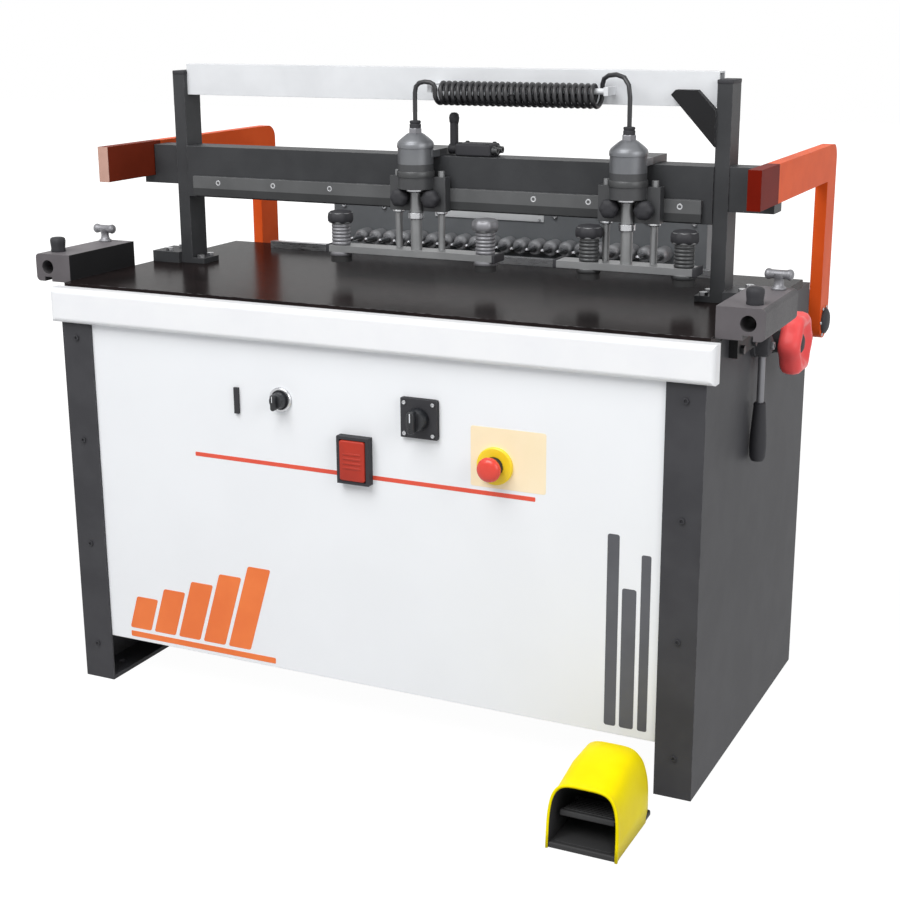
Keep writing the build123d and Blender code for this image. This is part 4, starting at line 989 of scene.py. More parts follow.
@dataclass
class Cabinet(SubAssembly):
    """The prints and screws of the cabinet's front, and the louvres and unions of its rear.

    A print's four sizes are the x and z of its centre, its width and its height.
    """

    panel_front: float = -0.313
    print_depth: float = 0.0003
    print_corner: float = 0.004
    corner_share: float = 0.2
    stripe: Sizes = (-0.0015, 0.471, 0.651, 0.0075)
    patch: Sizes = (0.276, 0.5315, 0.132, 0.101)
    underline: Sizes = (-0.334, 0.102, 0.316, 0.011)
    upright_bars: tuple[Sizes, ...] = (
        (0.458, 0.268, 0.020, 0.328), (0.486, 0.224, 0.024, 0.240), (0.513, 0.254, 0.016, 0.300),
    )
    bar_heights: Floats = (0.064, 0.088, 0.112, 0.136, 0.160)
    bar_start: float = -0.460
    bar_pitch: float = 0.058
    bar_width: float = 0.047
    bar_foot: float = 0.114
    bar_lean: float = 0.3
    screws: Group = Group(
        Screw(0.005, 0.0032), Axis.FRONT, (-0.569, 0.569), (-0.317,), (0.07, 0.27, 0.47, 0.66)
    )
    louvres: Group = Group(
        Plate(0.016, 0.13, 0.0078, 0, 0.007, 0.006, 4), Axis.REAR,
        (-0.36, -0.20, -0.04), (0.313,), (0.38, 0.42, 0.46, 0.50, 0.54, 0.58),
    )
    nuts: Group = Group(
        Lathe((15.2, 0, 19.5, 0, 19.5, 7.5, 17.8, 9, 15.2, 9), 6), Axis.REAR,
        (0.380, 0.290), (0.313,), (0.220,),
    )

    def mark(self, x: float, z: float, width: float, height: float, lean: float = 0.0) -> Surface:
        """A thin print on the front panel.

        Args:
            x, z: its centre.
            width, height: its sides.
            lean: how far it leans over, as a share of its height.

        Returns:
            The surface.
        """
        corner = min(self.print_corner, self.corner_share * min(width, height))
        shape = Plate(width, height, corner, 0, self.print_depth, self.print_depth / 3, 1, lean)
        return shape.moved(Axis.FRONT, (x, self.panel_front, z))

    def prints(self) -> None:
        """Prints a stripe, a patch behind the emergency button, leaning bars and upright bars."""
        self.piece("print_stripe", self.mark(*self.stripe), PRINT_RED)
        self.piece("print_patch", self.mark(*self.patch), PRINT_YELLOW)
        leaning = []
        for step, height in enumerate(self.bar_heights):
            x, z = self.bar_start + self.bar_pitch * step, self.bar_foot + height / 2
            leaning.append(self.mark(x, z, self.bar_width, height, self.bar_lean))
        self.piece("print_leaning_bars", [*leaning, self.mark(*self.underline)], PRINT_ORANGE)
        self.piece("print_upright_bars", [self.mark(*sizes) for sizes in self.upright_bars], PRINT_GREY)

    def build(self) -> None:
        """Prints the front and sets its screws, the louvres, and the nuts of air inlet and cable gland."""
        self.prints()
        self.piece("flange_screws", self.screws, BLACK_PLASTIC, slot="black_iron")
        self.piece("rear_louvres", self.louvres, CABINET_GREY, Shading.SOFT)
        self.piece("union_nuts", self.nuts, BRASS)


@dataclass
class SideFittings(SubAssembly):
    """The T handles, the end knobs, the handwheel and the lock lever at the two ends of the table."""

    socket_x: float = 0.650
    bracket_top: float = 0.802
    handle_y: float = -0.113
    stem: Lathe = Lathe((
        0, 0.3, 11.5, 0.3, 12, 1.8, 11.5, 3.4, 8.8, 5, 7.5, 9, 7.2, 13, 7.8, 18, 9.8, 20.5, 9.8, 26,
        0, 26,
    ), 32)
    bar_z: float = 0.826
    bar_end: Floats = (0, -23.2, 4.2, -22.7, 7.4, -20.8, 8.8, -17.6, 8.2, -14.2, 7.2, -11.5)
    bar_middle: Floats = (7.1, 0)
    end_knobs: Group = Group(Lathe((
        0, 0, 13, 0, 13.6, 2, 12.9, 6, 13.6, 13, 14.2, 19, 13.6, 23.5, 10.6, 25.8, 5.3, 26.6, 0, 26.6,
    ), 84, 7, 0.05), Axis.UP, (-0.650, 0.650), (-0.252,), (0.802,))
    wheel_at: Point = (0.626, 0.038, 0.687)
    wheel: Lathe = Lathe((
        0, 0, 34, 0, 46, 1.2, 52.5, 6, 55, 14, 55, 24, 52.5, 32, 46.5, 37, 41, 38, 36, 36.5, 30, 32,
        23, 29, 18, 28.5, 0, 28.5,
    ), 120, 6, 0.13)
    hub: Lathe = Lathe((0, -25.7, 20.5, -25.7, 20.5, -16, 18.5, -13, 18.5, 1, 0, 1), 40)
    cap: Lathe = Lathe((0, 28, 15.5, 28, 15.5, 30.5, 11.5, 32.8, 0, 33.5), 40)
    lever_at: Point = (0.6003, -0.060, 0.700)
    lever_hub: Lathe = Lathe((0, 0, 21, 0, 21, 6, 19.5, 8, 19.5, 23, 17, 27.5, 12, 30, 0, 30), 40)
    lever_screw: Screw = Screw(0.0065, 0.005)
    screw_out: float = 0.0295
    rod: Lathe = Lathe((0, 16, 6, 16, 6, 99, 0, 99), 24)
    rod_out: float = 0.015
    grip: Lathe = Lathe((
        0, 96, 8.5, 96, 10.2, 98, 10.5, 106, 11.8, 125, 13.6, 150, 14.2, 172, 13.2, 188, 10.2, 194.5,
        5, 196, 0, 196,
    ), 32)

    def handles(self) -> None:
        """Makes the T handles, of a collared stem and a ball-ended bar each, and the lobed end knobs."""
        end = mm(self.bar_end)
        bar = turned(np.concatenate([end, mm(self.bar_middle), end[::-1] * (1, -1)]), 28)
        for name, x in (("t_handle_left", -self.socket_x), ("t_handle_right", self.socket_x)):
            parts = [
                self.stem.moved(Axis.UP, (x, self.handle_y, self.bracket_top)),
                bar.moved(Axis.RIGHT, (x, self.handle_y, self.bar_z)),
            ]
            self.piece(name + "_turned", parts, SATIN_STEEL, Shading.SOFT, name, name)
        self.piece("end_knob_grips", self.end_knobs, BLACK_PLASTIC, Shading.SOFT)

    def handwheel(self) -> None:
        """Makes the handwheel: six rounded lobes about a dished face, a hub and a centre cap."""
        node = "handwheel"
        wheel = self.wheel.moved(Axis.RIGHT, self.wheel_at)
        self.piece("handwheel_rim", wheel, HANDWHEEL_RED, Shading.SOFT, node, node)
        parts = [shape.moved(Axis.RIGHT, self.wheel_at) for shape in (self.hub, self.cap)]
        self.piece("handwheel_hub", parts, BLACK_PLASTIC, body=node)

    def lock_lever(self) -> None:
        """Makes the lock lever: a stepped hub with its screw, a steel rod and a tapered black grip."""
        node = "lock_lever"
        x, y, z = self.lever_at
        centre = (x + self.rod_out, y, z)
        black = [self.lever_hub.moved(Axis.RIGHT, self.lever_at), self.grip.moved(Axis.DOWN, centre)]
        self.piece("lock_lever_grip", black, BLACK_PLASTIC, body=node, replaces=node)
        screw = self.lever_screw.moved(Axis.RIGHT, (x + self.screw_out, y, z))
        steel = [self.rod.moved(Axis.DOWN, centre), screw]
        self.piece("lock_lever_rod", steel, SATIN_STEEL, body=node)

    def build(self) -> None:
        """Makes every fitting."""
        self.handles()
        self.handwheel()
        self.lock_lever()


@dataclass
class WorkClamp(SubAssembly):
    """The dress of one work clamp: its barrel head, fitting, knobs, bushes and pressure pads."""

    side: str
    x: float
    bar: Pair
    pads: Pair
    sleeve: Finish
    plain_pad: float | None = None
    axis_y: float = -0.062
    dome: Lathe = Lathe((
        30, 995, 32.2, 995.5, 32.4, 999, 31.8, 1003, 30, 1006.4, 26.2, 1010, 21.2, 1014, 16.5, 1017.8,
        12.8, 1020, 9.8, 1020.8, 7.8, 1020.8,
    ), 64)
    band: Lathe = Lathe((30, 945.5, 32.8, 945.8, 33.2, 948, 33.2, 954.5, 32.2, 956.2, 30, 956.2), 64)
    union: Lathe = Lathe((7.5, 1020, 12, 1020, 12, 1027.5, 10.8, 1029, 7.5, 1029), 6)
    collet: Lathe = Lathe((
        7.5, 1028.5, 10, 1028.5, 10, 1035, 8.8, 1036.2, 9.8, 1037.8, 9.8, 1040.5, 8.6, 1041.4,
        4.1, 1041.4,
    ), 40)
    lock_knob: Lathe = Lathe(
        (0, 0, 14, 0, 15.6, 3, 16.6, 10, 16, 16.5, 13, 20, 6, 21.2, 0, 21.2), 72, 6, 0.08
    )
    lock_spread: float = 0.030
    lock_z: float = 0.908
    block_front: float = -0.0563
    block_low: float = 0.885
    pad_knob: Lathe = Lathe((
        0, 38.5, 17, 38.5, 20.5, 39.2, 23.4, 43, 23.6, 50, 22.6, 56.5, 18.5, 60.2, 10, 61.6, 0, 61.6,
    ), 84, 7, 0.07)
    bar_top: float = 0.818
    bar_cap: Block = Block((-0.003, -0.0795, 0.8045), (0.003, -0.0365, 0.8195), 0.0018)
    sleeve_bore: float = 0.0145
    sleeve_radius: float = 0.0158
    sleeve_height: float = 0.0375
    ridge: float = 0.0012
    ridge_pitch: float = 0.0062
    cup: Lathe = Lathe((18.5, -12, 20, -12, 20.4, -13.5, 20.4, -18, 19.4, -19.2, 18.5, -19.2), 40)
    bush: Lathe = Lathe((6.1, 0, 10.5, 0, 10.5, 3, 8.8, 4.5, 6.1, 4.5), 36)
    guide_y: float = -0.0463
    guide_spread: float = 0.042
    gland: Lathe = Lathe((10.1, 0, 18, 0, 18, 4, 15, 6, 10.1, 6), 40)
    gland_z: float = 0.925
    collar: Lathe = Lathe((9.8, 872.5, 12.8, 872.5, 13.8, 873.5, 13.8, 883.2, 12.8, 884.2, 9.8, 884.2))

    def __post_init__(self) -> None:
        """Names the two bodies, and the places of the ram and of the pads."""
        self.clamp: str = f"clamp_{self.side}"
        self.ram: str = f"ram_{self.side}"
        self.axis: Point = (self.x, self.axis_y, 0.0)
        self.pad_places: list[Point] = [(self.x + pad, self.axis_y, self.bar_top) for pad in self.pads]

    def pair(self, spread: float, y: float, z: float) -> list[Point]:
        """The two points at a distance to the left and to the right of the clamp's middle."""
        return [(self.x + side * spread, y, z) for side in SIDES]

    def barrel(self) -> None:
        """Turns the domed barrel head, its band, and the push-in fitting of the hose."""
        for name, shape, finish, slot in (
            ("barrel_head", self.dome, ALLOY, None),
            ("barrel_band", self.band, DARK_STEEL, ALLOY.slot),
            ("union", self.union, SATIN_STEEL, None),
            ("collet", self.collet, BLACK_PLASTIC, None),
        ):
            made = shape.moved(Axis.UP, self.axis)
            self.piece(f"{self.clamp}_{name}", made, finish, body=self.clamp, slot=slot)

    def knobs(self) -> None:
        """Puts lobed black grips on the two lock nuts and on the pad posts, or a plain steel one."""
        places = self.pair(self.lock_spread, self.block_front, self.lock_z)
        locks = self.lock_knob.copies(Axis.FRONT, places)
        self.piece(f"{self.clamp}_lock_knobs", locks, BLACK_PLASTIC, Shading.SOFT, self.clamp)
        caps = self.pad_knob.copies(Axis.UP, self.pad_places)
        for number, (pad, made) in enumerate(zip(self.pads, caps), 1):
            finish = SATIN_STEEL if pad == self.plain_pad else BLACK_PLASTIC
            name = f"{self.ram}_pad_knob_{number}"
            self.piece(name, made, finish, Shading.SOFT, self.ram, slot=BLACK_PLASTIC.slot)

    def sleeves(self) -> None:
        """Turns the ridged sleeves of the pad posts, the cups of the pads and the bushes of the rods.

        A sleeve's radius swells with the absolute sine of its height.
        """
        height = np.linspace(0, self.sleeve_height, 61)
        radius = self.sleeve_radius + self.ridge * np.abs(np.sin(math.pi * height / self.ridge_pitch))
        wall = np.stack([radius, height], axis=-1)
        ends = [[(self.sleeve_bore, level)] for level in (0, self.sleeve_height)]
        posts = turned(np.concatenate([ends[0], wall, ends[1]]), 40).copies(Axis.UP, self.pad_places)
        cups = self.cup.copies(Axis.UP, self.pad_places)
        self.piece(f"{self.ram}_pad_sleeves", posts + cups, self.sleeve, Shading.SOFT, self.ram)
        places = self.pair(self.guide_spread, self.guide_y, self.block_low)
        bushes = self.bush.copies(Axis.DOWN, places)
        bushes.append(self.gland.moved(Axis.DOWN, (self.x, self.axis_y, self.gland_z)))
        self.piece(f"{self.clamp}_bushes", bushes, STEEL, body=self.clamp)

    def build(self) -> None:
        """Dresses the clamp, with a stop collar on the ram and caps on the ends of the cross bar."""
        self.barrel()
        self.knobs()
        self.sleeves()
        self.piece(f"{self.ram}_collar", self.collar.moved(Axis.UP, self.axis), STEEL, body=self.ram)
        caps = self.bar_cap.copies(Axis.UP, [(self.x + end, 0, 0) for end in self.bar])
        self.piece(f"{self.ram}_bar_ends", caps, BLACK_PLASTIC, body=self.ram)


@dataclass
class ClampBridge(SubAssembly):
    """The posts' caps, the hand valve and the two work clamps."""

    post_caps: Group = Group(
        Plate(0.027, 0.052, 0.003, -0.003, 0.004, 0.0015), Axis.UP, (-0.5255, 0.5255), (0,), (1.113,)
    )
    rail_screws: Group = Group(
        Lathe((0, -1.5, 5, -1.5, 5, 0.1, 2.8, 0.1, 2.8, -1, 0, -1), 28), Axis.FRONT,
        (-0.44, -0.32, -0.20, 0.20, 0.30, 0.46), (-0.036,), (0.913,),
    )
    case: Block = Block((0.045, -0.022, 0.979), (0.113, 0.022, 1.001), 0.004, 3)
    case_screws: Group = Group(
        Screw(0.0034, 0.0026), Axis.UP, (0.053, 0.105), (-0.015, 0.015), (1.0004,)
    )
    ports: Group = Group(
        Lathe((0, 0, 7.2, 0, 7.2, 4, 6, 5.5, 6, 10, 3.5, 10, 3.5, 6, 0, 6), 28), Axis.RIGHT,
        (0.1125,), (-0.011, 0.011), (0.990,),
    )
    lever_z: float = 0.990
    arm: Block = Block((0.0275, -0.0075, -0.006), (0.0405, 0.0075, 0.050), 0.005, 3)
    ball: Lathe = Lathe((0, 40, 6.2, 41, 8.4, 46, 9.2, 53, 8, 59, 4.8, 61.8, 0, 62.5), 32)
    ball_x: float = 0.034
    boss: Lathe = Lathe((0, -1.2, 8.6, -1.2, 9.2, 0, 9.2, 14, 7, 16.5, 5, 16.5, 5, 30, 0, 30), 32)
    boss_x: float = 0.027

    def valve(self) -> None:
        """Makes the valve's rounded case with its screws and plugs, and its round-ended lever."""
        self.piece("valve_case", self.case, BLACK_PLASTIC, Shading.SOFT, replaces="hand_valve_body")
        self.piece("valve_fittings", [self.case_screws, self.ports], DARK_STEEL)
        node = "hand_valve_lever"
        lever = [
            self.arm.moved(Axis.UP, (0.0, 0.0, self.lever_z)),
            self.ball.moved(Axis.UP, (self.ball_x, 0.0, self.lever_z)),
            self.boss.moved(Axis.RIGHT, (self.boss_x, 0.0, self.lever_z)),
        ]
        self.piece("valve_lever_arm", lever, BLACK_PLASTIC, Shading.SOFT, node, node)

    def build(self) -> None:
        """Caps the posts, sets the guide rail's screws, and makes the valve and both clamps."""
        self.piece("post_caps", self.post_caps, BLACK_PLASTIC)
        self.piece("guide_rail_screws", self.rail_screws, STEEL)
        self.valve()
        WorkClamp("left", -0.011, (-0.172, 0.155), (-0.152, 0.133), SATIN_STEEL, 0.133).build()
        WorkClamp("right", 0.379, (-0.122, 0.122), (-0.066, 0.100), DARK_STEEL).build()


@dataclass
class TiltYoke(SubAssembly):
    """The caps and screws of the orange arms' pivots and of the saddle."""

    body: ClassVar[str] = "tilting_yoke"
    pivot_y: float = 0.385
    pivot_z: float = 0.660
    outer_x: float = 0.614
    dome: Lathe = Lathe((0, -1, 23.5, -1, 24, 2, 22.5, 5.5, 17, 8.5, 9, 10, 0, 10.4))
    screw: Screw = Screw(0.0032, 0.003)
    screw_count: int = 6
    screw_ring: float = 0.0275
    screw_sink: float = 0.0005
    saddle_screws: Group = Group(
        Screw(0.005, 0.005), Axis.UP, (-0.270, -0.190, 0.190, 0.270), (0.362, 0.408), (0.702,)
    )

    def build(self) -> None:
        """Caps both pivots with a dome and a ring of screws, and sets the saddle's screws."""
        turn = np.linspace(0, 2 * math.pi, self.screw_count, endpoint=False)
        y = self.pivot_y + self.screw_ring * np.cos(turn)
        z = self.pivot_z + self.screw_ring * np.sin(turn)
        domes, heads = [], []
        for side, axis in zip(SIDES, (Axis.LEFT, Axis.RIGHT)):
            domes.append(self.dome.moved(axis, (side * self.outer_x, self.pivot_y, self.pivot_z)))
            x = np.full_like(y, side * (self.outer_x - self.screw_sink))
            heads += self.screw.copies(axis, zip(x, y, z))
        self.piece("pivot_caps", domes, BLACK_PLASTIC, Shading.SOFT)
        self.piece("yoke_screws", [*heads, self.saddle_screws], STEEL)


@dataclass
class BoringHead(SubAssembly):
    """The twist bits and chucks, the screws of the head, and the motor's fins, guard and terminal box."""

    body: ClassVar[str] = "boring_head"
    count: int = 21
    pitch: float = 0.032
    axis_z: float = 0.776
    chuck_rear: float = 0.328
    chuck: Lathe = Lathe((
        8.5, 0, 14.3, 0, 14.9, 1.2, 14.9, 8, 14.4, 8.8, 14.4, 10.2, 14.9, 11, 14.9, 19, 14.4, 19.8,
        14.4, 21.2, 14.9, 22, 14.9, 27.5, 13.8, 30, 10.5, 36.2, 9, 36.7, 3.5, 36.7,
    ), 40)
    bit_start: float = 0.035
    bit_length: float = 0.0735
    bit_radius: float = 0.0046
    bit_waist: float = 0.2
    bit_twist: float = 480.0
    point_length: float = 0.004
    point: Floats = (4.6, -3.8, 1.2, -2.2, 0.7, 0, 0, 0)
    front_screws: Group = Group(
        Screw(0.0045, 0.004), Axis.FRONT,
        (-0.375, -0.28125, 0.09375, 0.1875, 0.28125, 0.375), (0.330,), (0.834,),
    )
    cover_screws: Group = Group(
        Screw(0.0045, 0.004), Axis.REAR, tuple(np.linspace(-0.380, 0.380, 10)), (0.474,), (0.752, 0.838)
    )
    plate: Block = Block((-0.166, 0.3276, 0.8215), (0.070, 0.3304, 0.8425), 0.0009)
    plate_screws: Group = Group(
        Screw(0.0026, 0.0018), Axis.FRONT, (-0.158, 0.062), (0.3278,), (0.8262, 0.8378)
    )
    fins: Lathe = Lathe((58, 486, 65.5, 488, 65.5, 616, 58, 618), 288, 36, 0.085)
    flange: Lathe = Lathe((0, 474.2, 75, 474.2, 75, 482, 70, 486, 0, 486), 64)
    lid: Block = Block((-0.0475, 0.5415, 0.8725), (0.0475, 0.6265, 0.8805), 0.003)
    lid_screws: Group = Group(Screw(0.0034, 0.003), Axis.UP, (-0.039, 0.039), (0.550, 0.618), (0.8803,))
    motor_rear: float = 0.684
    guard_radii: Floats = (0.012, 0.0225, 0.033, 0.0435, 0.054)
    guard_wire: float = 0.0017
    guard_out: float = 0.0006
    fan_shade_disc: Lathe = Lathe((0, 0, 57.5, 0, 57.5, 0.5, 0, 0.5), 56)
    gland: Lathe = Lathe((0, 0, 12.5, 0, 12.5, 7, 10.5, 9, 10.5, 16, 6, 18, 6, 10, 0, 10), 24)
    gland_at: Point = (0.045, 0.584, 0.845)

    def spindles(self) -> None:
        """Puts a chuck and a twist bit on each spindle, along their own Z from the chuck's rear.

        The bit's radius swells and shrinks twice round its axis, and the two swells wind along it.
        """
        height = np.linspace(self.bit_start, self.bit_length - self.point_length, 46)
        shank = np.stack([np.full_like(height, self.bit_radius), height], axis=-1)
        profile = np.concatenate([shank, mm(self.point) + (0, self.bit_length)])
        bit = turned(profile, 24, 2, self.bit_waist, self.bit_twist)
        shape = Surface.joined([self.chuck, bit])
        for index in range(self.count):
            x = (index - (self.count - 1) / 2) * self.pitch
            name = f"spindle_{index + 1:02d}"
            made = shape.moved(Axis.FRONT, (x, self.chuck_rear, self.axis_z))
            self.piece(name + "_bit", made, TWIST_STEEL, Shading.SOFT, name)

    def motor(self) -> None:
        """Makes the motor's cooling fins, the fan guard, and the terminal box's lid, screws and gland."""
        axis, end = (0.0, 0.0, self.axis_z), (0.0, self.motor_rear, self.axis_z)
        self.piece("motor_fins", self.fins.moved(Axis.REAR, axis), MOTOR_GREY)
        self.piece("motor_flange_and_lid", [self.flange.moved(Axis.REAR, axis), self.lid], MOTOR_GREY)
        turn = np.linspace(0, 2 * math.pi, 9)
        wire = self.guard_wire * np.stack([np.cos(turn), np.sin(turn)], axis=-1)
        rings = [turned(wire + (radius, self.guard_out), 56) for radius in self.guard_radii]
        self.piece("fan_guard", Surface.joined(rings).moved(Axis.REAR, end), STEEL, Shading.SOFT)
        # The black disc behind the fan guard is painted shade inside the fan's opening.
        black = [self.fan_shade_disc.moved(Axis.REAR, end), self.gland.moved(Axis.RIGHT, self.gland_at)]
        self.piece("motor_black_parts", black, BLACK_PLASTIC)
        self.piece("terminal_screws", self.lid_screws, STEEL)

    def build(self) -> None:
        """Dresses the head, whose long pale plate at the front is held by four screws."""
        self.spindles()
        self.piece("head_screws", [self.front_screws, self.cover_screws], STEEL)
        self.piece("head_plate", self.plate, PALE_ALLOY)
        self.piece("head_plate_screws", self.plate_screws, STEEL)
        self.motor()


@dataclass(frozen=True)
class Knob:
    """A turning knob: its node, place, gap to the panel, radius, and the lengths of its base and grip."""

    node: str
    place: Pair
    out: float
    radius: float
    base: float
    grip: float


@dataclass
class Controls(SubAssembly):
    """The switches and buttons on the front panel.

    The skirt's profile is given in shares of a knob's radius and of its base's length.
    """

    panel_front: float = -0.313
    switch: Pair = (0.120, 0.584)
    selector: Pair = (-0.146, 0.588)
    stop: Pair = (-0.001, 0.500)
    emergency: Pair = (0.254, 0.519)
    knobs: tuple[Knob, ...] = (
        Knob("main_switch_knob", switch, 0.0083, 0.019, 0.018, 0.014),
        Knob("selector_knob", selector, 0.0043, 0.014, 0.016, 0.010),
    )
    skirt: Pairs = ((0, 0), (1, 0), (1.03, 0.15), (0.97, 0.6), (0.86, 0.95), (0.7, 1), (0, 1))
    ring: Lathe = Lathe((19.2, 0, 21.5, 0, 21.5, 3, 20, 4.8, 17.5, 4.8, 16.5, 4.1))
    disc: Lathe = Lathe((15.2, 5.2, 16.5, 6.2, 29.5, 6.2, 31.2, 5, 31.2, 0, 29, 0), 56)
    rim: Plate = Plate(0.0685, 0.0685, 0.006, 0, 0.003, 0.0012)
    screws: Group = Group(Screw(0.0034, 0.0025), Axis.FRONT, (0.094, 0.146), (-0.3209,), (0.558, 0.610))
    key: Plate = Plate(0.0478, 0.0698, 0.004, 0.0095, 0.0190, 0.0025, 3)
    ribs: Group = Group(
        Plate(0.034, 0.0036, 0.0016, 0.0185, 0.0200, 0.0008), Axis.UP,
        (0,), (-0.012, -0.004, 0.004, 0.012), (0,),
    )
    dome: Lathe = Lathe((
        0, 10, 9.5, 10, 9.5, 21.2, 17, 21.6, 19.8, 23.2, 20.6, 26.2, 19.8, 30, 17.2, 33.6, 12.5, 35.6,
        6, 36.2, 0, 36.3,
    ), 56)

    def at(self, place: Pair, out: float = 0.0) -> Point:
        """The point that stands out from the panel by a distance at a control's centre."""
        return place[0], self.panel_front - out, place[1]

    def rotary(self, knob: Knob) -> None:
        """Makes a turning knob: a skirted round base, a waisted grip bar and a white pointer.

        Args:
            knob: its sizes.
        """
        size, top = knob.radius, knob.base + knob.grip
        base = turned(np.array(self.skirt) * (size, knob.base))
        bar = Plate(
            width=0.62 * size, height=2 * size, corner=0.3 * size, low=0.9 * knob.base, high=top,
            rim=0.12 * size, steps=3,
        )
        grip = Surface.joined([base, bar]).moved(Axis.FRONT, self.at(knob.place, knob.out))
        self.piece(knob.node + "_grip", grip, DIAL_BLACK, body=knob.node, replaces=knob.node)
        mark = Plate(
            width=0.1 * size, height=0.8 * size, corner=0.04 * size, low=-0.0002, high=0.0002, rim=0.0001,
            steps=1,
        )
        x, z = knob.place
        pointer = mark.moved(Axis.FRONT, self.at((x, z + 0.45 * size), knob.out + top))
        self.piece(knob.node + "_pointer", pointer, PANEL_WHITE, body=knob.node)

    def bezels(self) -> None:
        """Sets the bright ring and screws, the emergency button's yellow disc and the switch's rim."""
        ring = self.ring.moved(Axis.FRONT, self.at(self.selector))
        self.piece("control_bright_parts", [ring, self.screws], STEEL)
        disc = self.disc.moved(Axis.FRONT, self.at(self.emergency))
        self.piece("emergency_disc", disc, SIGNAL_YELLOW)
        self.piece("switch_rim", self.rim.moved(Axis.FRONT, self.at(self.switch)), BLACK_PLASTIC)

    def buttons(self) -> None:
        """Makes the ribbed stop plate and the domed emergency button."""
        key = Surface.joined([self.key, self.ribs]).moved(Axis.FRONT, self.at(self.stop))
        self.piece("stop_button_key", key, STOP_RED, body="stop_button", replaces="stop_button")
        node = "emergency_button"
        dome = self.dome.moved(Axis.FRONT, self.at(self.emergency))
        self.piece(node + "_head", dome, RED_PLASTIC, Shading.SOFT, node, node)

    def build(self) -> None:
        """Makes every control."""
        for knob in self.knobs:
            self.rotary(knob)
        self.bezels()
        self.buttons()


@dataclass
class FootPedal(SubAssembly):
    """The yellow hood on its base, and the ribbed treadle.

    The hood's height, lip and narrowing are given as pairs of a distance from its mouth and a size.
    """

    x: float = 0.501
    half: float = 0.056
    front: float = -0.550
    rear: float = -0.385
    arches: Floats = (0, 3, 6, 10, 20, 40, 60, 80, 110, 136, 148, 156, 162, 165)
    roof: Pairs = ((0, 0.106), (0.080, 0.125), (0.136, 0.125), (0.150, 0.114), (0.165, 0.095))
    lip: Pairs = ((0, 0.00154), (0.003, 0.0022), (0.006, 0.00132), (0.012, 0))
    narrowing: Pairs = ((0.140, 0), (0.165, 0.006))
    closing: Floats = (0.92, 0.6, 0.25)
    rake: float = 0.008
    squareness: float = 4.2
    wall: float = 0.004
    base: Block = Block((0.4455, -0.548, 0), (0.5565, -0.386, 0.010), 0.003)
    mat: Plate = Plate(0.100, 0.144, 0.008, 0.0096, 0.0112, 0.0006)
    mat_y: float = -0.469
    gland: Lathe = Lathe((4, -4, 13.5, -4, 13.5, 4, 11.5, 6, 11.5, 14, 8.5, 18, 4, 18, 4, -4), 32)
    pivot: Point = (0.501, -0.433, 0.030)
    stubs: Lathe = Lathe((0, -55.5, 5, -55.5, 5, 55.5, 0, 55.5), 24)
    slab: Block = Block((-0.045, -0.095, -0.005), (0.045, 0.006, 0.005), 0.003)
    ribs: Group = Group(
        Block((-0.040, 0, 0.0045), (0.040, 0.004, 0.0072), 0.0012), Axis.UP,
        (0,), tuple(np.linspace(-0.090, -0.020, 9)), (0,),
    )
    rest_angle: float = -13.0

    def hood(self) -> Surface:
        """The hood: arches x = a |cos t|^(2/n), z = h |sin t|^(2/n) set one behind another along Y.

        The height h grows over the roof's run, falls at the back, and the last arches shrink to close it.
        The mouth leans back with height, and its first arches swell into a lip.

        Returns:
            The open surface.
        """
        run = mm(self.arches).ravel()
        tall, swell, narrow = (
            np.interp(run, *zip(*knots)) for knots in (self.roof, self.lip, self.narrowing)
        )
        sizes = (self.half + swell - narrow, tall + swell)
        wide, tall = (np.concatenate([s, s[-1] * np.array(self.closing)])[:, None] for s in sizes)
        run = np.concatenate([run, np.full(len(self.closing), run[-1])])[:, None]
        turn = np.linspace(math.pi, 0, 57)
        power = 2 / self.squareness
        x = self.x + wide * np.sign(np.cos(turn)) * np.abs(np.cos(turn)) ** power
        z = tall * np.abs(np.sin(turn)) ** power
        mouth_height, roof_run = self.roof[0][1], self.roof[1][0]
        lean = self.rake * np.clip(1 - run / roof_run, 0, 1) * z / mouth_height
        return grid(np.stack([x, self.front + run + lean, z], axis=-1))

    def housing(self) -> None:
        """Makes the hood with its inner wall, the base, the mat and the gland."""
        node = "pedal_housing"
        made = self.piece("pedal_hood", self.hood(), PEDAL_YELLOW, Shading.SOFT, replaces=node)
        made.data.materials.append(RUBBER.material())
        shell = made.modifiers.new("wall", "SOLIDIFY")
        shell.thickness = self.wall
        shell.offset = -1.0
        shell.material_offset = 1
        self.piece("pedal_base", self.base, RUBBER, replaces=node)
        self.piece("pedal_mat", self.mat.moved(Axis.UP, (self.x, self.mat_y, 0)), RUBBER)
        gland = self.gland.moved(Axis.REAR, (self.x, self.rear, self.pivot[2]))
        self.piece("pedal_gland", gland, BLACK_PLASTIC)

    def treadle(self) -> None:
        """Makes the ribbed treadle, tilted about its pivot, and the stubs that it turns on."""
        node = "pedal_treadle"
        foot_plate = Surface.joined([self.slab, self.ribs]).tilted(self.rest_angle)
        parts = [foot_plate.moved(Axis.UP, self.pivot), self.stubs.moved(Axis.RIGHT, self.pivot)]
        self.piece("treadle_plate", parts, RUBBER, body=node, replaces=node)

    def build(self) -> None:
        """Makes the housing and the treadle."""
        self.housing()
        self.treadle()


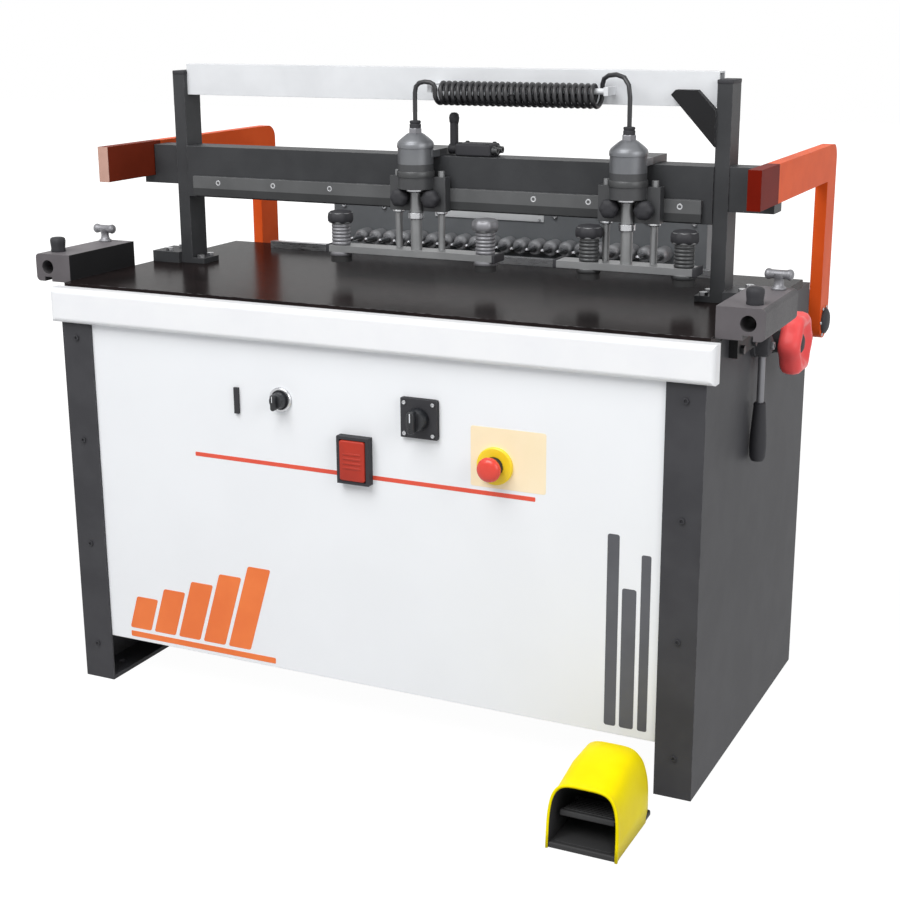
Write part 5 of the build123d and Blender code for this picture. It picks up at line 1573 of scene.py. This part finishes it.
NODE_FINISHES: tuple[tuple[Finish, tuple[str, ...]], ...] = (
    (CABINET_GREY, ("side_panels", "rear_panel")),
    (PANEL_WHITE, ("front_panel",)),
    (RAIL_WHITE, ("front_rail",)),
    (TABLE_DARK, ("table_top",)),
    (STEEL_X, ("rear_fence", "trunnion_tube")),
    (BRIDGE_GREY, ("bridge_posts",)),
    (BEAM_GREY, ("presser_beam",)),
    (TOP_RAIL_PALE, ("hose_rail",)),
    (BLACK_IRON, ("trunnion_brackets",)),
    (BRACKET_GREY, ("end_brackets",)),
    (BOLT_STEEL, ("frame_bolts",)),
    (STEEL, ("guide_rods", "feed_rods")),
    (SATIN_STEEL, ("t_handle_left", "t_handle_right")),
    (BLACK_PLASTIC, ("control_plates", "hand_valve_body", "hand_valve_lever")),
    (BLACK_PLASTIC, ("lock_lever", "pedal_treadle")),
    (DIAL_BLACK, ("main_switch_knob", "selector_knob")),
    (STOP_RED, ("stop_button",)),
    (RED_PLASTIC, ("emergency_button",)),
    (HANDWHEEL_RED, ("handwheel",)),
    (PEDAL_YELLOW, ("pedal_housing",)),
    (ARM_ORANGE, ("tilt_arms",)),
    (HEAD_GREY, ("head_saddle", "head_housing", "head_cover")),
    (MOTOR_GREY, ("motor",)),
    (ALLOY, ("feed_cylinders",)),
    (CLAMP, ("clamp_left_body", "clamp_right_body")),
    (RAM_STEEL, ("clamp_left_ram", "clamp_right_ram")),
    (TWIST_STEEL, tuple(f"spindle_{number:02d}" for number in range(1, 22))),
)


def dress_nodes(nodes: dict[str, bpy.types.Object]) -> None:
    """Gives every CAD node its finish.

    Args:
        nodes: the CAD nodes by name.
    """
    for finish, names in NODE_FINISHES:
        for name in names:
            mesh = nodes[name].data
            mesh.materials.clear()
            mesh.materials.append(finish.material())
            mesh.polygons.foreach_set("material_index", np.zeros(len(mesh.polygons), np.int32))
            log.info("painted %s with %s", name, finish.name)


def main() -> None:
    """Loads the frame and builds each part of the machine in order."""
    logging.basicConfig(level=logging.INFO, format="%(message)s")
    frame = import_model()
    Studio().build()
    CoiledHose().build()
    dress_nodes(frame["nodes"])
    for part in (Cabinet, SideFittings, ClampBridge, TiltYoke, BoringHead, Controls, FootPedal):
        part().build()


if __name__ == "__main__":
    main()
